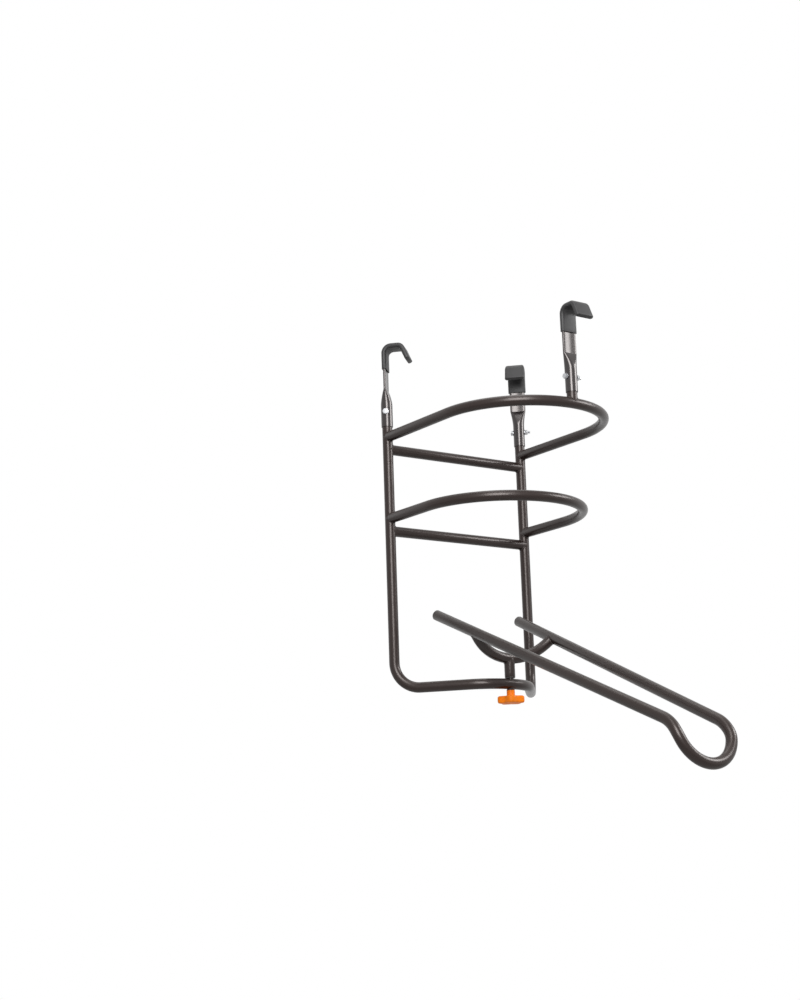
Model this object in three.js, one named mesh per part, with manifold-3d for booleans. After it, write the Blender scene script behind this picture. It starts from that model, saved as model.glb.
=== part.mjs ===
// Basketball return: a welded tube cage that hangs under a hoop's rim on three padded hooks and
// catches every shot that falls through, with a tube chute at its foot that rolls the ball back.
// The chute swivels on a post and is locked where it points by a screw knob under the bar.
//
// Millimetres, +Z up. The origin is the centre of the rim at the height of the rim rod's
// centreline. -Y points to the court, +Y to the backboard.
import * as THREE from 'three';
import { mergeVertices } from 'three/addons/utils/BufferGeometryUtils.js';
import Module from 'manifold-3d';

const wasm = await Module();
wasm.setup();

// The rim that the cage hangs on: a standard 18 inch rim of round rod
const RIM_RADIUS = 237.5;
const RIM_ROD_RADIUS = 9;

// Clearances between mating pieces
const WELD_GAP = 0.3;
const SLEEVE_FIT = 0.4;
const SEAT_GAP = 0.3;
const BORE_FIT = 0.3;
const CAP_FIT = 0.3;
const CUT_OVERRUN = 2;

// Round tube that the cage and the chute are bent from
const TUBE_RADIUS = 11.1;
const TUBE_WALL = 1.5;

// Where the three hooks stand round the rim
const BACK_LEG_ANGLE = THREE.MathUtils.degToRad(43.73);
const BACK_LEG_OUTSIDE_RIM = 27.5;
const FRONT_STUB_INSIDE_RIM = 23;

// Drops below the rim's centreline
const LEG_TOP_DROP = 118;
const UPPER_HOOP_DROP = 188;
const LOWER_HOOP_DROP = 369;
const CROSSBAR_BELOW_HOOP = 27.5;
const FOOT_BAR_DROP = 736;

// Plan of the hoops and of the bowed foot bar
const UPPER_HOOP_REACH = 214.5;
const LOWER_HOOP_REACH = 131.5;
const PIVOT_BEHIND_RIM_CENTRE = 32.3;
const FOOT_BOW_RADIUS = 104;
const LEG_BEND_RADIUS = 55;

// Hook: a sleeve over the leg, pressed flat above it and bent over the rim
const SLEEVE_WALL = 1.2;
const SLEEVE_END_DROP = 165.5;
const PRESS_START_DROP = 117;
const PRESS_END_DROP = 82;
const PRESS_CURVE = 1.6;
const FLAT_WIDTH = 35;
const FLAT_THICKNESS = 5.5;
const TIP_WIDTH = 39;
const CROWN_BEND_RADIUS = 16;
const SEAT_LENGTH = 15;
const TIP_BEND_RADIUS = 12;
const TIP_LEAN = THREE.MathUtils.degToRad(23);
const TIP_LENGTH = 25;

// Soft cap drawn over the hooked part
const CAP_WALL = 2.2;
const CAP_END_DROP = 37;

// Cross bolt through each sleeve
const BOLT_DROP = 132.5;
const BOLT_RADIUS = 3;
const BOLT_HEAD_RADIUS = 5.8;
const BOLT_HEAD_HEIGHT = 4;
const BOLT_END_LENGTH = 6;
const NUT_HEIGHT = 5;
const WASHER_RADIUS = 6.2;
const WASHER_THICKNESS = 1.2;

// Chute: two rails that draw together towards a closed loop, rolled down at the outlet
const CHUTE_PITCH = THREE.MathUtils.degToRad(23.6);
const RAIL_ABOVE_FOOT_BAR = 108.8;
const RAIL_HALF_SPACING = 103.5;
const RAIL_TAPER = THREE.MathUtils.degToRad(3.5);
const RAIL_BEHIND_PIVOT = 109;
const RAIL_AHEAD_OF_PIVOT = 575;
const OUTLET_EASE_LENGTH = 36.7;
const OUTLET_ROLL_RADIUS = 66.7;
const OUTLET_ROLL_ANGLE = THREE.MathUtils.degToRad(51);
const CRADLE_DEPTH = 50.5;

// Plugs in the rails' open ends
const PLUG_SHANK_LENGTH = 12;
const PLUG_DOME_HEIGHT = 5.5;

// Swivel: a bush through the foot bar, a slip washer, and a threaded insert in the post
const BUSH_RADIUS = 7.6;
const BUSH_STAND_OUT = 0.6;
const SLIP_WASHER_RADIUS = 10.6;
const SLIP_WASHER_THICKNESS = 1.6;
const POST_WALL = 2;
const INSERT_LENGTH = 18;
const STUD_RADIUS = 5;
const STUD_IN_INSERT = 15;

// Clamp knob
const KNOB_WASHER_RADIUS = 8.6;
const KNOB_WASHER_THICKNESS = 1.2;
const KNOB_NECK_RADIUS = 8.5;
const KNOB_NECK_LENGTH = 12.3;
const KNOB_HEAD_RADIUS = 29;
const KNOB_HEAD_HEIGHT = 16.2;
const KNOB_LOBE_DEPTH = 3.2;
const KNOB_LOBES = 5;
const KNOB_REST_TURN = THREE.MathUtils.degToRad(15.8);
const KNOB_EDGE_ROUND = 4;
const STUD_IN_KNOB = 16;

// Facets
const TUBE_SIDES = 16;
const BORE_SIDES = 8;
const HOOK_SIDES = 12;
const ROUND_SIDES = 16;
const CUTTER_SIDES = 24;
const SHANK_SIDES = 10;
const NUT_BORE_SIDES = 12;
const HEXAGON_SIDES = 6;

const X = new THREE.Vector3(1, 0, 0);
const Y = new THREE.Vector3(0, 1, 0);
const Z = new THREE.Vector3(0, 0, 1);
const DOWN = new THREE.Vector3(0, 0, -1);
const TO_COURT = new THREE.Vector3(0, -1, 0);

// Places worked out from the sizes above
const backCircle = RIM_RADIUS + BACK_LEG_OUTSIDE_RIM;
const legX = backCircle * Math.sin(BACK_LEG_ANGLE);
const legY = backCircle * Math.cos(BACK_LEG_ANGLE);
const stubY = FRONT_STUB_INSIDE_RIM - RIM_RADIUS;
const sleeveRadius = TUBE_RADIUS + SLEEVE_FIT + SLEEVE_WALL;
const capHalfThickness = FLAT_THICKNESS / 2 + CAP_FIT + CAP_WALL;
const crownHeight = RIM_ROD_RADIUS + SEAT_GAP + capHalfThickness;
const footZ = -FOOT_BAR_DROP;
const railPivotZ = footZ + RAIL_ABOVE_FOOT_BAR;
const bushTop = footZ + TUBE_RADIUS + BUSH_STAND_OUT;
const bushBottom = footZ - TUBE_RADIUS - BUSH_STAND_OUT;
const slipWasherBottom = bushTop + SEAT_GAP;
const postBottom = slipWasherBottom + SLIP_WASHER_THICKNESS + SEAT_GAP;
const knobWasherTop = bushBottom - SEAT_GAP;
const knobTop = knobWasherTop - KNOB_WASHER_THICKNESS - SEAT_GAP;
const knobHeadTop = knobTop - KNOB_NECK_LENGTH;
const loopRadius = railHalfSpacing(RAIL_AHEAD_OF_PIVOT) - Math.tan(RAIL_TAPER) * OUTLET_EASE_LENGTH / 2;
const cradleAhead = CRADLE_DEPTH * Math.tan(CHUTE_PITCH);
const cradleFootZ = railPivotZ - cradleAhead * Math.sin(CHUTE_PITCH)
  - CRADLE_DEPTH * Math.cos(CHUTE_PITCH);
const boreRadius = TUBE_RADIUS - TUBE_WALL;

// Half the distance between the rails, this far ahead of the pivot
function railHalfSpacing(ahead) {
  return RAIL_HALF_SPACING - Math.tan(RAIL_TAPER) * ahead;
}

// A tube's centreline, drawn as a tube bender works: straight runs and bends, one after another.
// Its stations are only as close as the shape needs, so a straight run costs one step.
class TubeRoute extends THREE.Curve {
  constructor(start, heading) {
    super();
    this.stations = [];
    this.add(start, heading);
  }

  add(point, tangent) {
    this.stations.push({ point: point.clone(), tangent: tangent.clone().normalize() });
    return this;
  }

  get end() {
    return this.stations[this.stations.length - 1];
  }

  straight(length) {
    const { point, tangent } = this.end;
    return this.add(point.clone().addScaledVector(tangent, length), tangent);
  }

  bendTo(heading, radius, steps) {
    const { point, tangent } = this.end;
    const axis = tangent.clone().cross(heading).normalize();
    const centre = point.clone().addScaledVector(axis.clone().cross(tangent), radius);
    const angle = tangent.angleTo(heading);
    for (let i = 1; i <= steps; i += 1) {
      const turn = new THREE.Quaternion().setFromAxisAngle(axis, (angle * i) / steps);
      const spoke = point.clone().sub(centre).applyQuaternion(turn);
      this.add(spoke.add(centre), tangent.clone().applyQuaternion(turn));
    }
    return this;
  }

  get steps() {
    return this.stations.length - 1;
  }

  getPointAt(share) {
    return this.stations[Math.round(share * this.steps)].point.clone();
  }

  getTangentAt(share) {
    return this.stations[Math.round(share * this.steps)].tangent.clone();
  }
}

// Points of a polygon whose corners lie on a circle
function circlePoints(radius, sides) {
  return Array.from({ length: sides }, (_, k) => {
    const angle = (2 * Math.PI * (k + 0.5)) / sides;
    return new THREE.Vector2(radius * Math.cos(angle), radius * Math.sin(angle));
  });
}

// A polygon's corner radius when its flats are to lie on this radius
function aroundRadius(radius, sides) {
  return radius / Math.cos(Math.PI / sides);
}

// A closed geometry as a solid that can be cut and joined
function toSolid(geometry) {
  const bare = geometry.clone();
  bare.deleteAttribute('normal');
  bare.deleteAttribute('uv');
  const merged = mergeVertices(bare);
  return new wasm.Manifold(new wasm.Mesh({
    numProp: 3,
    vertProperties: new Float32Array(merged.getAttribute('position').array),
    triVerts: new Uint32Array(merged.getIndex().array),
  }));
}

// A solid as a three.js geometry
function toGeometry(solid) {
  const mesh = solid.getMesh();
  const geometry = new THREE.BufferGeometry();
  geometry.setAttribute('position', new THREE.BufferAttribute(mesh.vertProperties, mesh.numProp));
  geometry.setIndex(new THREE.BufferAttribute(mesh.triVerts, 1));
  geometry.computeVertexNormals();
  return geometry;
}

// A round bar swept along a route
function barAlong(route, radius, sides) {
  const section = new THREE.Shape(circlePoints(radius, sides));
  return new THREE.ExtrudeGeometry(section, { steps: route.steps, extrudePath: route });
}

// A hollow tube swept along a route, open at both ends
function tubeAlong(route, radius, wall) {
  const section = new THREE.Shape(circlePoints(radius, TUBE_SIDES));
  section.holes.push(new THREE.Path(circlePoints(aroundRadius(radius - wall, BORE_SIDES), BORE_SIDES)));
  return new THREE.ExtrudeGeometry(section, { steps: route.steps, extrudePath: route });
}

// A round cutter whose flats clear the given radius
function cutterAlong(route, radius) {
  return toSolid(barAlong(route, aroundRadius(radius, CUTTER_SIDES), CUTTER_SIDES));
}

// A straight route between two points
function straightRoute(from, to) {
  const run = to.clone().sub(from);
  return new TubeRoute(from, run).straight(run.length());
}

// A turned piece about Z, from its profile of [radius, height] corners
function turned(profile, sides = ROUND_SIDES) {
  const points = profile.map(([radius, height]) => new THREE.Vector2(radius, height));
  points.push(points[0].clone());
  return new THREE.LatheGeometry(points, sides).rotateX(Math.PI / 2);
}

// A flat ring about Z that stands on the given height
function ring(inner, outer, bottom, thickness) {
  return turned([[inner, bottom], [outer, bottom], [outer, bottom + thickness], [inner, bottom + thickness]]);
}

// The two back legs, as vertical cutters that cope whatever is welded to them
function legCutters() {
  return [-legX, legX].map((x) => {
    const top = new THREE.Vector3(x, legY, -LEG_TOP_DROP);
    const bottom = new THREE.Vector3(x, legY, footZ);
    return cutterAlong(straightRoute(top, bottom), TUBE_RADIUS + WELD_GAP);
  });
}

// A solid with several cutters taken out of it
function cutWith(solid, cutters) {
  return cutters.reduce((left, cutter) => left.subtract(cutter), solid);
}

// The cross hole for a hook's bolt, through a point and along the given direction
function boltHole(centre, direction) {
  const half = sleeveRadius + CUT_OVERRUN;
  const from = centre.clone().addScaledVector(direction, -half);
  const to = centre.clone().addScaledVector(direction, half);
  return cutterAlong(straightRoute(from, to), BOLT_RADIUS + BORE_FIT);
}

// Both legs and the bowed foot bar, bent from one tube
function frameTubeGeometry() {
  const bowCentreY = PIVOT_BEHIND_RIM_CENTRE + FOOT_BOW_RADIUS;
  const toBowCentre = Math.hypot(legX, bowCentreY - legY);
  const splay = Math.atan2(legY - bowCentreY, legX) + Math.asin(FOOT_BOW_RADIUS / toBowCentre);
  const tangentLength = Math.sqrt(toBowCentre ** 2 - FOOT_BOW_RADIUS ** 2) - LEG_BEND_RADIUS;
  const legLength = FOOT_BAR_DROP - LEG_TOP_DROP - LEG_BEND_RADIUS;
  const inwards = new THREE.Vector3(Math.cos(splay), -Math.sin(splay), 0);
  const outwards = new THREE.Vector3(Math.cos(splay), Math.sin(splay), 0);
  const route = new TubeRoute(new THREE.Vector3(-legX, legY, -LEG_TOP_DROP), DOWN)
    .straight(legLength)
    .bendTo(inwards, LEG_BEND_RADIUS, 6)
    .straight(tangentLength)
    .bendTo(outwards, FOOT_BOW_RADIUS, 8)
    .straight(tangentLength)
    .bendTo(Z, LEG_BEND_RADIUS, 6)
    .straight(legLength);
  const bushHole = cutterAlong(straightRoute(
    new THREE.Vector3(0, PIVOT_BEHIND_RIM_CENTRE, bushBottom - CUT_OVERRUN),
    new THREE.Vector3(0, PIVOT_BEHIND_RIM_CENTRE, bushTop + CUT_OVERRUN),
  ), BUSH_RADIUS + WELD_GAP);
  const boltHoles = [-1, 1].map((side) => {
    const centre = new THREE.Vector3(side * legX, legY, -BOLT_DROP);
    const tangential = new THREE.Vector3(legY, -side * legX, 0).normalize();
    return boltHole(centre, tangential);
  });
  return toGeometry(cutWith(toSolid(tubeAlong(route, TUBE_RADIUS, TUBE_WALL)), [bushHole, ...boltHoles]));
}

// The centreline of a hoop: two arms from the legs and a half circle between them
function hoopRoute(drop, reach) {
  const armLength = legY + reach - legX;
  return new TubeRoute(new THREE.Vector3(-legX, legY, -drop), TO_COURT)
    .straight(armLength)
    .bendTo(X, legX, 8)
    .bendTo(Y, legX, 8)
    .straight(armLength);
}

// A hoop, coped to the legs that it is welded to
function hoopGeometry(drop, reach) {
  const tube = toSolid(tubeAlong(hoopRoute(drop, reach), TUBE_RADIUS, TUBE_WALL));
  return toGeometry(cutWith(tube, legCutters()));
}

// A straight bar from leg to leg, coped at both ends
function crossbarGeometry(drop) {
  const route = straightRoute(new THREE.Vector3(-legX, legY, -drop), new THREE.Vector3(legX, legY, -drop));
  return toGeometry(cutWith(toSolid(tubeAlong(route, TUBE_RADIUS, TUBE_WALL)), legCutters()));
}

// The short upright on the front of the upper hoop that carries the front hook
function frontStubGeometry() {
  const route = straightRoute(
    new THREE.Vector3(0, stubY, -UPPER_HOOP_DROP),
    new THREE.Vector3(0, stubY, -LEG_TOP_DROP),
  );
  const hoop = cutterAlong(hoopRoute(UPPER_HOOP_DROP, UPPER_HOOP_REACH), TUBE_RADIUS + WELD_GAP);
  const hole = boltHole(new THREE.Vector3(0, stubY, -BOLT_DROP), X);
  return toGeometry(cutWith(toSolid(tubeAlong(route, TUBE_RADIUS, TUBE_WALL)), [hoop, hole]));
}

// A section between a circle and a flat strip with round edges, in a station's own plane.
// The thickness lies across the tube in the plane of the hook, the width along Y.
function pressedSection(station, halfWidth, halfThickness) {
  const across = Y.clone().cross(station.tangent);
  return Array.from({ length: HOOK_SIDES }, (_, k) => {
    const angle = (2 * Math.PI * (k + 0.5)) / HOOK_SIDES;
    const thick = halfThickness * Math.cos(angle);
    const wide = halfThickness * Math.sin(angle) + Math.sign(Math.sin(angle)) * (halfWidth - halfThickness);
    return station.point.clone().addScaledVector(across, thick).addScaledVector(Y, wide);
  });
}

// A closed skin through sections of equal count, flat at both ends
function loft(sections) {
  const count = sections[0].length;
  const index = [];
  for (let row = 0; row < sections.length - 1; row += 1) {
    for (let k = 0; k < count; k += 1) {
      const a = row * count + k;
      const b = row * count + ((k + 1) % count);
      index.push(a, b, a + count, b, b + count, a + count);
    }
  }
  const lastRow = (sections.length - 1) * count;
  for (let k = 1; k < count - 1; k += 1) {
    index.push(0, k + 1, k, lastRow, lastRow + k, lastRow + k + 1);
  }
  const geometry = new THREE.BufferGeometry();
  const positions = sections.flat().flatMap((point) => point.toArray());
  geometry.setAttribute('position', new THREE.Float32BufferAttribute(positions, 3));
  geometry.setIndex(index);
  return geometry;
}

// The hooked stretch in the hook's own frame: up the leg, over the rim towards +X, and down
function crownRoute(startDrop, endLength) {
  const tipHeading = new THREE.Vector3(Math.sin(TIP_LEAN), 0, -Math.cos(TIP_LEAN));
  return new TubeRoute(new THREE.Vector3(0, 0, -startDrop), Z)
    .straight(startDrop + crownHeight - CROWN_BEND_RADIUS)
    .bendTo(X, CROWN_BEND_RADIUS, 4)
    .straight(SEAT_LENGTH)
    .bendTo(tipHeading, TIP_BEND_RADIUS, 3)
    .straight(endLength);
}

// The half width of the pressed strip at a crown station: it spreads towards the tip
function stripHalfWidth(row, rows) {
  const spread = Math.max(0, row - 1) / (rows - 2);
  return THREE.MathUtils.lerp(FLAT_WIDTH, TIP_WIDTH, spread) / 2;
}

// The hook's skin, drawn in by a wall all round
function hookSkin(inset, overrun) {
  const facet = inset > 0 ? aroundRadius(1, HOOK_SIDES) : 1;
  const sections = [];
  const addRound = (drop, press) => {
    const station = { point: new THREE.Vector3(0, 0, -drop), tangent: Z };
    const halfWidth = THREE.MathUtils.lerp(sleeveRadius, FLAT_WIDTH / 2, press);
    const halfThickness = THREE.MathUtils.lerp(sleeveRadius, FLAT_THICKNESS / 2, press);
    sections.push(pressedSection(station, (halfWidth - inset) * facet, (halfThickness - inset) * facet));
  };
  addRound(SLEEVE_END_DROP + overrun, 0);
  const pressSteps = 4;
  for (let i = 0; i <= pressSteps; i += 1) {
    const share = i / pressSteps;
    const drop = THREE.MathUtils.lerp(PRESS_START_DROP, PRESS_END_DROP, share);
    addRound(drop, share ** PRESS_CURVE);
  }
  const crown = crownRoute(PRESS_END_DROP, TIP_LENGTH + overrun).stations;
  crown.slice(1).forEach((station, row) => {
    const halfWidth = stripHalfWidth(row + 1, crown.length) - inset;
    sections.push(pressedSection(station, halfWidth * facet, (FLAT_THICKNESS / 2 - inset) * facet));
  });
  return toSolid(loft(sections));
}

// One hook: round sleeve, pressed neck, crown over the rim and leaning tip, hollow throughout
function hookGeometry() {
  const hollow = hookSkin(0, 0).subtract(hookSkin(SLEEVE_WALL, CUT_OVERRUN));
  return toGeometry(hollow.subtract(boltHole(new THREE.Vector3(0, 0, -BOLT_DROP), Y)));
}

// The cap's skin at some distance outside the strip, with its closed end past the tip
function capSkin(outset, startDrop, endLength, rounded) {
  const crown = crownRoute(startDrop, endLength);
  const rows = crown.stations.length;
  const sections = crown.stations.map((station, row) => (
    pressedSection(station, stripHalfWidth(row, rows) + outset, FLAT_THICKNESS / 2 + outset)
  ));
  if (rounded) {
    const { point, tangent } = crown.end;
    const nose = { point: point.clone().addScaledVector(tangent, CAP_WALL), tangent };
    sections.push(pressedSection(nose, TIP_WIDTH / 2, FLAT_THICKNESS / 2));
  }
  return toSolid(loft(sections));
}

// The soft cap: a sleeve that follows the crown, open below and closed over the tip
function hookCapGeometry() {
  const outer = capSkin(CAP_FIT + CAP_WALL, CAP_END_DROP, TIP_LENGTH + CAP_FIT, true);
  const inner = capSkin(CAP_FIT, CAP_END_DROP + CUT_OVERRUN, TIP_LENGTH + CAP_FIT, false);
  return toGeometry(outer.subtract(inner));
}

// Places of the cross bolt's pieces along its axis, from the sleeve's centre outwards
const washerFace = sleeveRadius + SEAT_GAP;
const fastenerFace = washerFace + WASHER_THICKNESS + SEAT_GAP;
const boltEnd = fastenerFace + NUT_HEIGHT + BOLT_END_LENGTH;

// A hexagonal prism about Z, standing on the given height
function hexPrism(cornerRadius, bottom, height) {
  const prism = new THREE.ExtrudeGeometry(
    new THREE.Shape(circlePoints(cornerRadius, HEXAGON_SIDES)),
    { depth: height, bevelEnabled: false },
  );
  return prism.translate(0, 0, bottom);
}

// The cross bolt, its head on -Y
function boltGeometry() {
  const head = toSolid(hexPrism(BOLT_HEAD_RADIUS, -fastenerFace - BOLT_HEAD_HEIGHT, BOLT_HEAD_HEIGHT));
  const from = new THREE.Vector3(0, 0, -fastenerFace - BOLT_HEAD_HEIGHT / 2);
  const route = straightRoute(from, new THREE.Vector3(0, 0, boltEnd));
  const shank = toSolid(barAlong(route, BOLT_RADIUS, SHANK_SIDES));
  return toGeometry(head.add(shank)).rotateX(-Math.PI / 2);
}

// The nut, on +Y
function nutGeometry() {
  const shape = new THREE.Shape(circlePoints(BOLT_HEAD_RADIUS, HEXAGON_SIDES));
  shape.holes.push(new THREE.Path(circlePoints(BOLT_RADIUS + BORE_FIT, NUT_BORE_SIDES)));
  const nut = new THREE.ExtrudeGeometry(shape, { depth: NUT_HEIGHT, bevelEnabled: false });
  return nut.translate(0, 0, fastenerFace).rotateX(-Math.PI / 2);
}

// A washer on the +Y or the -Y side of the sleeve
function washerGeometry(side) {
  const bottom = side > 0 ? washerFace : -washerFace - WASHER_THICKNESS;
  return ring(BOLT_RADIUS + BORE_FIT, WASHER_RADIUS, bottom, WASHER_THICKNESS).rotateX(-Math.PI / 2);
}

// A point of the flat hairpin after its closed end is rolled down over a round former
function rolledStation(lateral, ahead, heading) {
  const past = Math.max(0, ahead - RAIL_AHEAD_OF_PIVOT);
  const turn = Math.min(past / OUTLET_ROLL_RADIUS, OUTLET_ROLL_ANGLE);
  const beyond = past - turn * OUTLET_ROLL_RADIUS;
  const forward = OUTLET_ROLL_RADIUS * Math.sin(turn) + beyond * Math.cos(turn);
  const fall = OUTLET_ROLL_RADIUS * (1 - Math.cos(turn)) + beyond * Math.sin(turn);
  const run = Math.cos(heading);
  return {
    point: new THREE.Vector3(lateral, -Math.min(ahead, RAIL_AHEAD_OF_PIVOT) - forward, -fall),
    tangent: new THREE.Vector3(Math.sin(heading), -run * Math.cos(turn), -run * Math.sin(turn)),
  };
}

// Half of the hairpin in the flat: [lateral, ahead, heading] from the left rail's end to the tip
function flatHalfHairpin() {
  const easeSteps = 4;
  const loopSteps = 9;
  const rows = [
    [-railHalfSpacing(-RAIL_BEHIND_PIVOT), -RAIL_BEHIND_PIVOT, RAIL_TAPER],
    [-railHalfSpacing(RAIL_AHEAD_OF_PIVOT), RAIL_AHEAD_OF_PIVOT, RAIL_TAPER],
  ];
  for (let i = 1; i <= easeSteps; i += 1) {
    const share = i / easeSteps;
    const drawnIn = Math.tan(RAIL_TAPER) * OUTLET_EASE_LENGTH * share * (1 - share / 2);
    const ahead = RAIL_AHEAD_OF_PIVOT + OUTLET_EASE_LENGTH * share;
    rows.push([drawnIn - railHalfSpacing(RAIL_AHEAD_OF_PIVOT), ahead, RAIL_TAPER * (1 - share)]);
  }
  const loopStart = RAIL_AHEAD_OF_PIVOT + OUTLET_EASE_LENGTH;
  for (let i = 1; i <= loopSteps; i += 1) {
    const angle = (Math.PI / 2) * (i / loopSteps);
    rows.push([-loopRadius * Math.cos(angle), loopStart + loopRadius * Math.sin(angle), angle]);
  }
  return rows;
}

// The chute's one long tube: left rail, rolled-down loop, right rail
function railsGeometry() {
  const half = flatHalfHairpin();
  const back = half.slice(0, -1).reverse().map(([lateral, ahead, heading]) => (
    [-lateral, ahead, Math.PI - heading]
  ));
  const stations = [...half, ...back].map((row) => rolledStation(...row));
  const route = new TubeRoute(stations[0].point, stations[0].tangent);
  stations.slice(1).forEach(({ point, tangent }) => route.add(point, tangent));
  return toGeometry(toSolid(tubeAlong(route, TUBE_RADIUS, TUBE_WALL)));
}

// The cradle's centreline: an arc under the ball from rail to rail, square to the chute
function cradleRoute() {
  const halfChord = railHalfSpacing(cradleAhead);
  const radius = (halfChord ** 2 + CRADLE_DEPTH ** 2) / (2 * CRADLE_DEPTH);
  const slope = Math.asin(halfChord / radius);
  return new TubeRoute(
    new THREE.Vector3(-halfChord, -cradleAhead, 0),
    new THREE.Vector3(Math.cos(slope), 0, -Math.sin(slope)),
  ).bendTo(new THREE.Vector3(Math.cos(slope), 0, Math.sin(slope)), radius, 12);
}

// The cradle, coped to both rails
function cradleGeometry() {
  const railCutters = [-1, 1].map((side) => cutterAlong(straightRoute(
    new THREE.Vector3(side * railHalfSpacing(-RAIL_BEHIND_PIVOT), RAIL_BEHIND_PIVOT, 0),
    new THREE.Vector3(side * railHalfSpacing(RAIL_AHEAD_OF_PIVOT), -RAIL_AHEAD_OF_PIVOT, 0),
  ), TUBE_RADIUS + WELD_GAP));
  return toGeometry(cutWith(toSolid(tubeAlong(cradleRoute(), TUBE_RADIUS, TUBE_WALL)), railCutters));
}

// A domed plug for a rail's open end, its dome towards +Z
function plugGeometry() {
  const domeSteps = 3;
  const shank = boreRadius - BORE_FIT;
  const profile = [[0, -PLUG_SHANK_LENGTH], [shank, -PLUG_SHANK_LENGTH], [shank, SEAT_GAP]];
  for (let i = 0; i < domeSteps; i += 1) {
    const angle = (Math.PI / 2) * (i / domeSteps);
    profile.push([TUBE_RADIUS * Math.cos(angle), SEAT_GAP + PLUG_DOME_HEIGHT * Math.sin(angle)]);
  }
  profile.push([0, SEAT_GAP + PLUG_DOME_HEIGHT]);
  return turned(profile, TUBE_SIDES);
}

// Turns the chute's own frame into the frame of the whole part
const chutePlace = new THREE.Matrix4().makeRotationX(CHUTE_PITCH)
  .setPosition(0, PIVOT_BEHIND_RIM_CENTRE, railPivotZ);

// The upright post, coped to the cradle's underside
function postGeometry() {
  const route = straightRoute(
    new THREE.Vector3(0, PIVOT_BEHIND_RIM_CENTRE, postBottom),
    new THREE.Vector3(0, PIVOT_BEHIND_RIM_CENTRE, cradleFootZ),
  );
  const cradle = barAlong(cradleRoute(), aroundRadius(TUBE_RADIUS + WELD_GAP, CUTTER_SIDES), CUTTER_SIDES);
  const cutter = toSolid(cradle.applyMatrix4(chutePlace));
  return toGeometry(toSolid(tubeAlong(route, TUBE_RADIUS, POST_WALL)).subtract(cutter));
}

// The knob: a lobed head with rounded edges, a round neck and a blind bore for the stud
function knobGeometry() {
  const outlineSteps = 8 * KNOB_LOBES;
  const waist = KNOB_HEAD_RADIUS - KNOB_EDGE_ROUND - KNOB_LOBE_DEPTH;
  const outline = Array.from({ length: outlineSteps }, (_, k) => {
    const angle = (2 * Math.PI * k) / outlineSteps;
    const radius = waist + KNOB_LOBE_DEPTH * Math.cos(KNOB_LOBES * (angle - KNOB_REST_TURN));
    return new THREE.Vector2(radius * Math.cos(angle), radius * Math.sin(angle));
  });
  const head = new THREE.ExtrudeGeometry(new THREE.Shape(outline), {
    depth: KNOB_HEAD_HEIGHT - 2 * KNOB_EDGE_ROUND,
    bevelThickness: KNOB_EDGE_ROUND,
    bevelSize: KNOB_EDGE_ROUND,
    bevelSegments: 2,
  }).translate(0, 0, knobHeadTop - KNOB_HEAD_HEIGHT + KNOB_EDGE_ROUND);
  const neck = turned([
    [0, knobHeadTop - KNOB_EDGE_ROUND],
    [KNOB_NECK_RADIUS, knobHeadTop - KNOB_EDGE_ROUND],
    [KNOB_NECK_RADIUS, knobTop],
    [0, knobTop],
  ]);
  const bore = cutterAlong(straightRoute(
    new THREE.Vector3(0, 0, knobTop - STUD_IN_KNOB - SEAT_GAP),
    new THREE.Vector3(0, 0, knobTop + CUT_OVERRUN),
  ), STUD_RADIUS + BORE_FIT);
  return toGeometry(toSolid(head).add(toSolid(neck)).subtract(bore));
}

// Finishes
const paint = { color: 0x3e3634, roughness: 0.42, metalness: 0.25 };
const zinc = { color: 0xb9bdc2, roughness: 0.35, metalness: 0.9 };
const softVinyl = { color: 0x4c4b4d, roughness: 0.75, metalness: 0 };
const blackPlastic = { color: 0x2b2827, roughness: 0.5, metalness: 0 };
const orangePlastic = { color: 0xf07f0a, roughness: 0.45, metalness: 0 };
const nylon = { color: 0x3a3836, roughness: 0.55, metalness: 0 };

// A named piece with its finish
function piece(name, geometry, finish) {
  const mesh = new THREE.Mesh(geometry, new THREE.MeshStandardMaterial(finish));
  mesh.name = name;
  return mesh;
}

// A hook with its cap and cross bolt, standing at a place and reaching over the rim along heading
function hookSet(name, x, y, heading) {
  const group = new THREE.Group();
  group.add(
    piece(`hook_${name}`, hookGeometry(), paint),
    piece(`hook_cap_${name}`, hookCapGeometry(), softVinyl),
    piece(`hook_bolt_${name}`, boltGeometry().translate(0, 0, -BOLT_DROP), zinc),
    piece(`hook_nut_${name}`, nutGeometry().translate(0, 0, -BOLT_DROP), zinc),
    piece(`head_washer_${name}`, washerGeometry(-1).translate(0, 0, -BOLT_DROP), zinc),
    piece(`nut_washer_${name}`, washerGeometry(1).translate(0, 0, -BOLT_DROP), zinc),
  );
  group.position.set(x, y, 0);
  group.rotation.z = heading;
  return group;
}

// The plug in one rail's end, facing away along the rail
function railPlug(name, side) {
  const plug = piece(name, plugGeometry(), blackPlastic);
  plug.position.set(side * railHalfSpacing(-RAIL_BEHIND_PIVOT), RAIL_BEHIND_PIVOT, 0);
  const outwards = new THREE.Vector3(side * Math.sin(RAIL_TAPER), Math.cos(RAIL_TAPER), 0);
  plug.quaternion.setFromUnitVectors(Z, outwards);
  return plug;
}

const returner = new THREE.Group();

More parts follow.
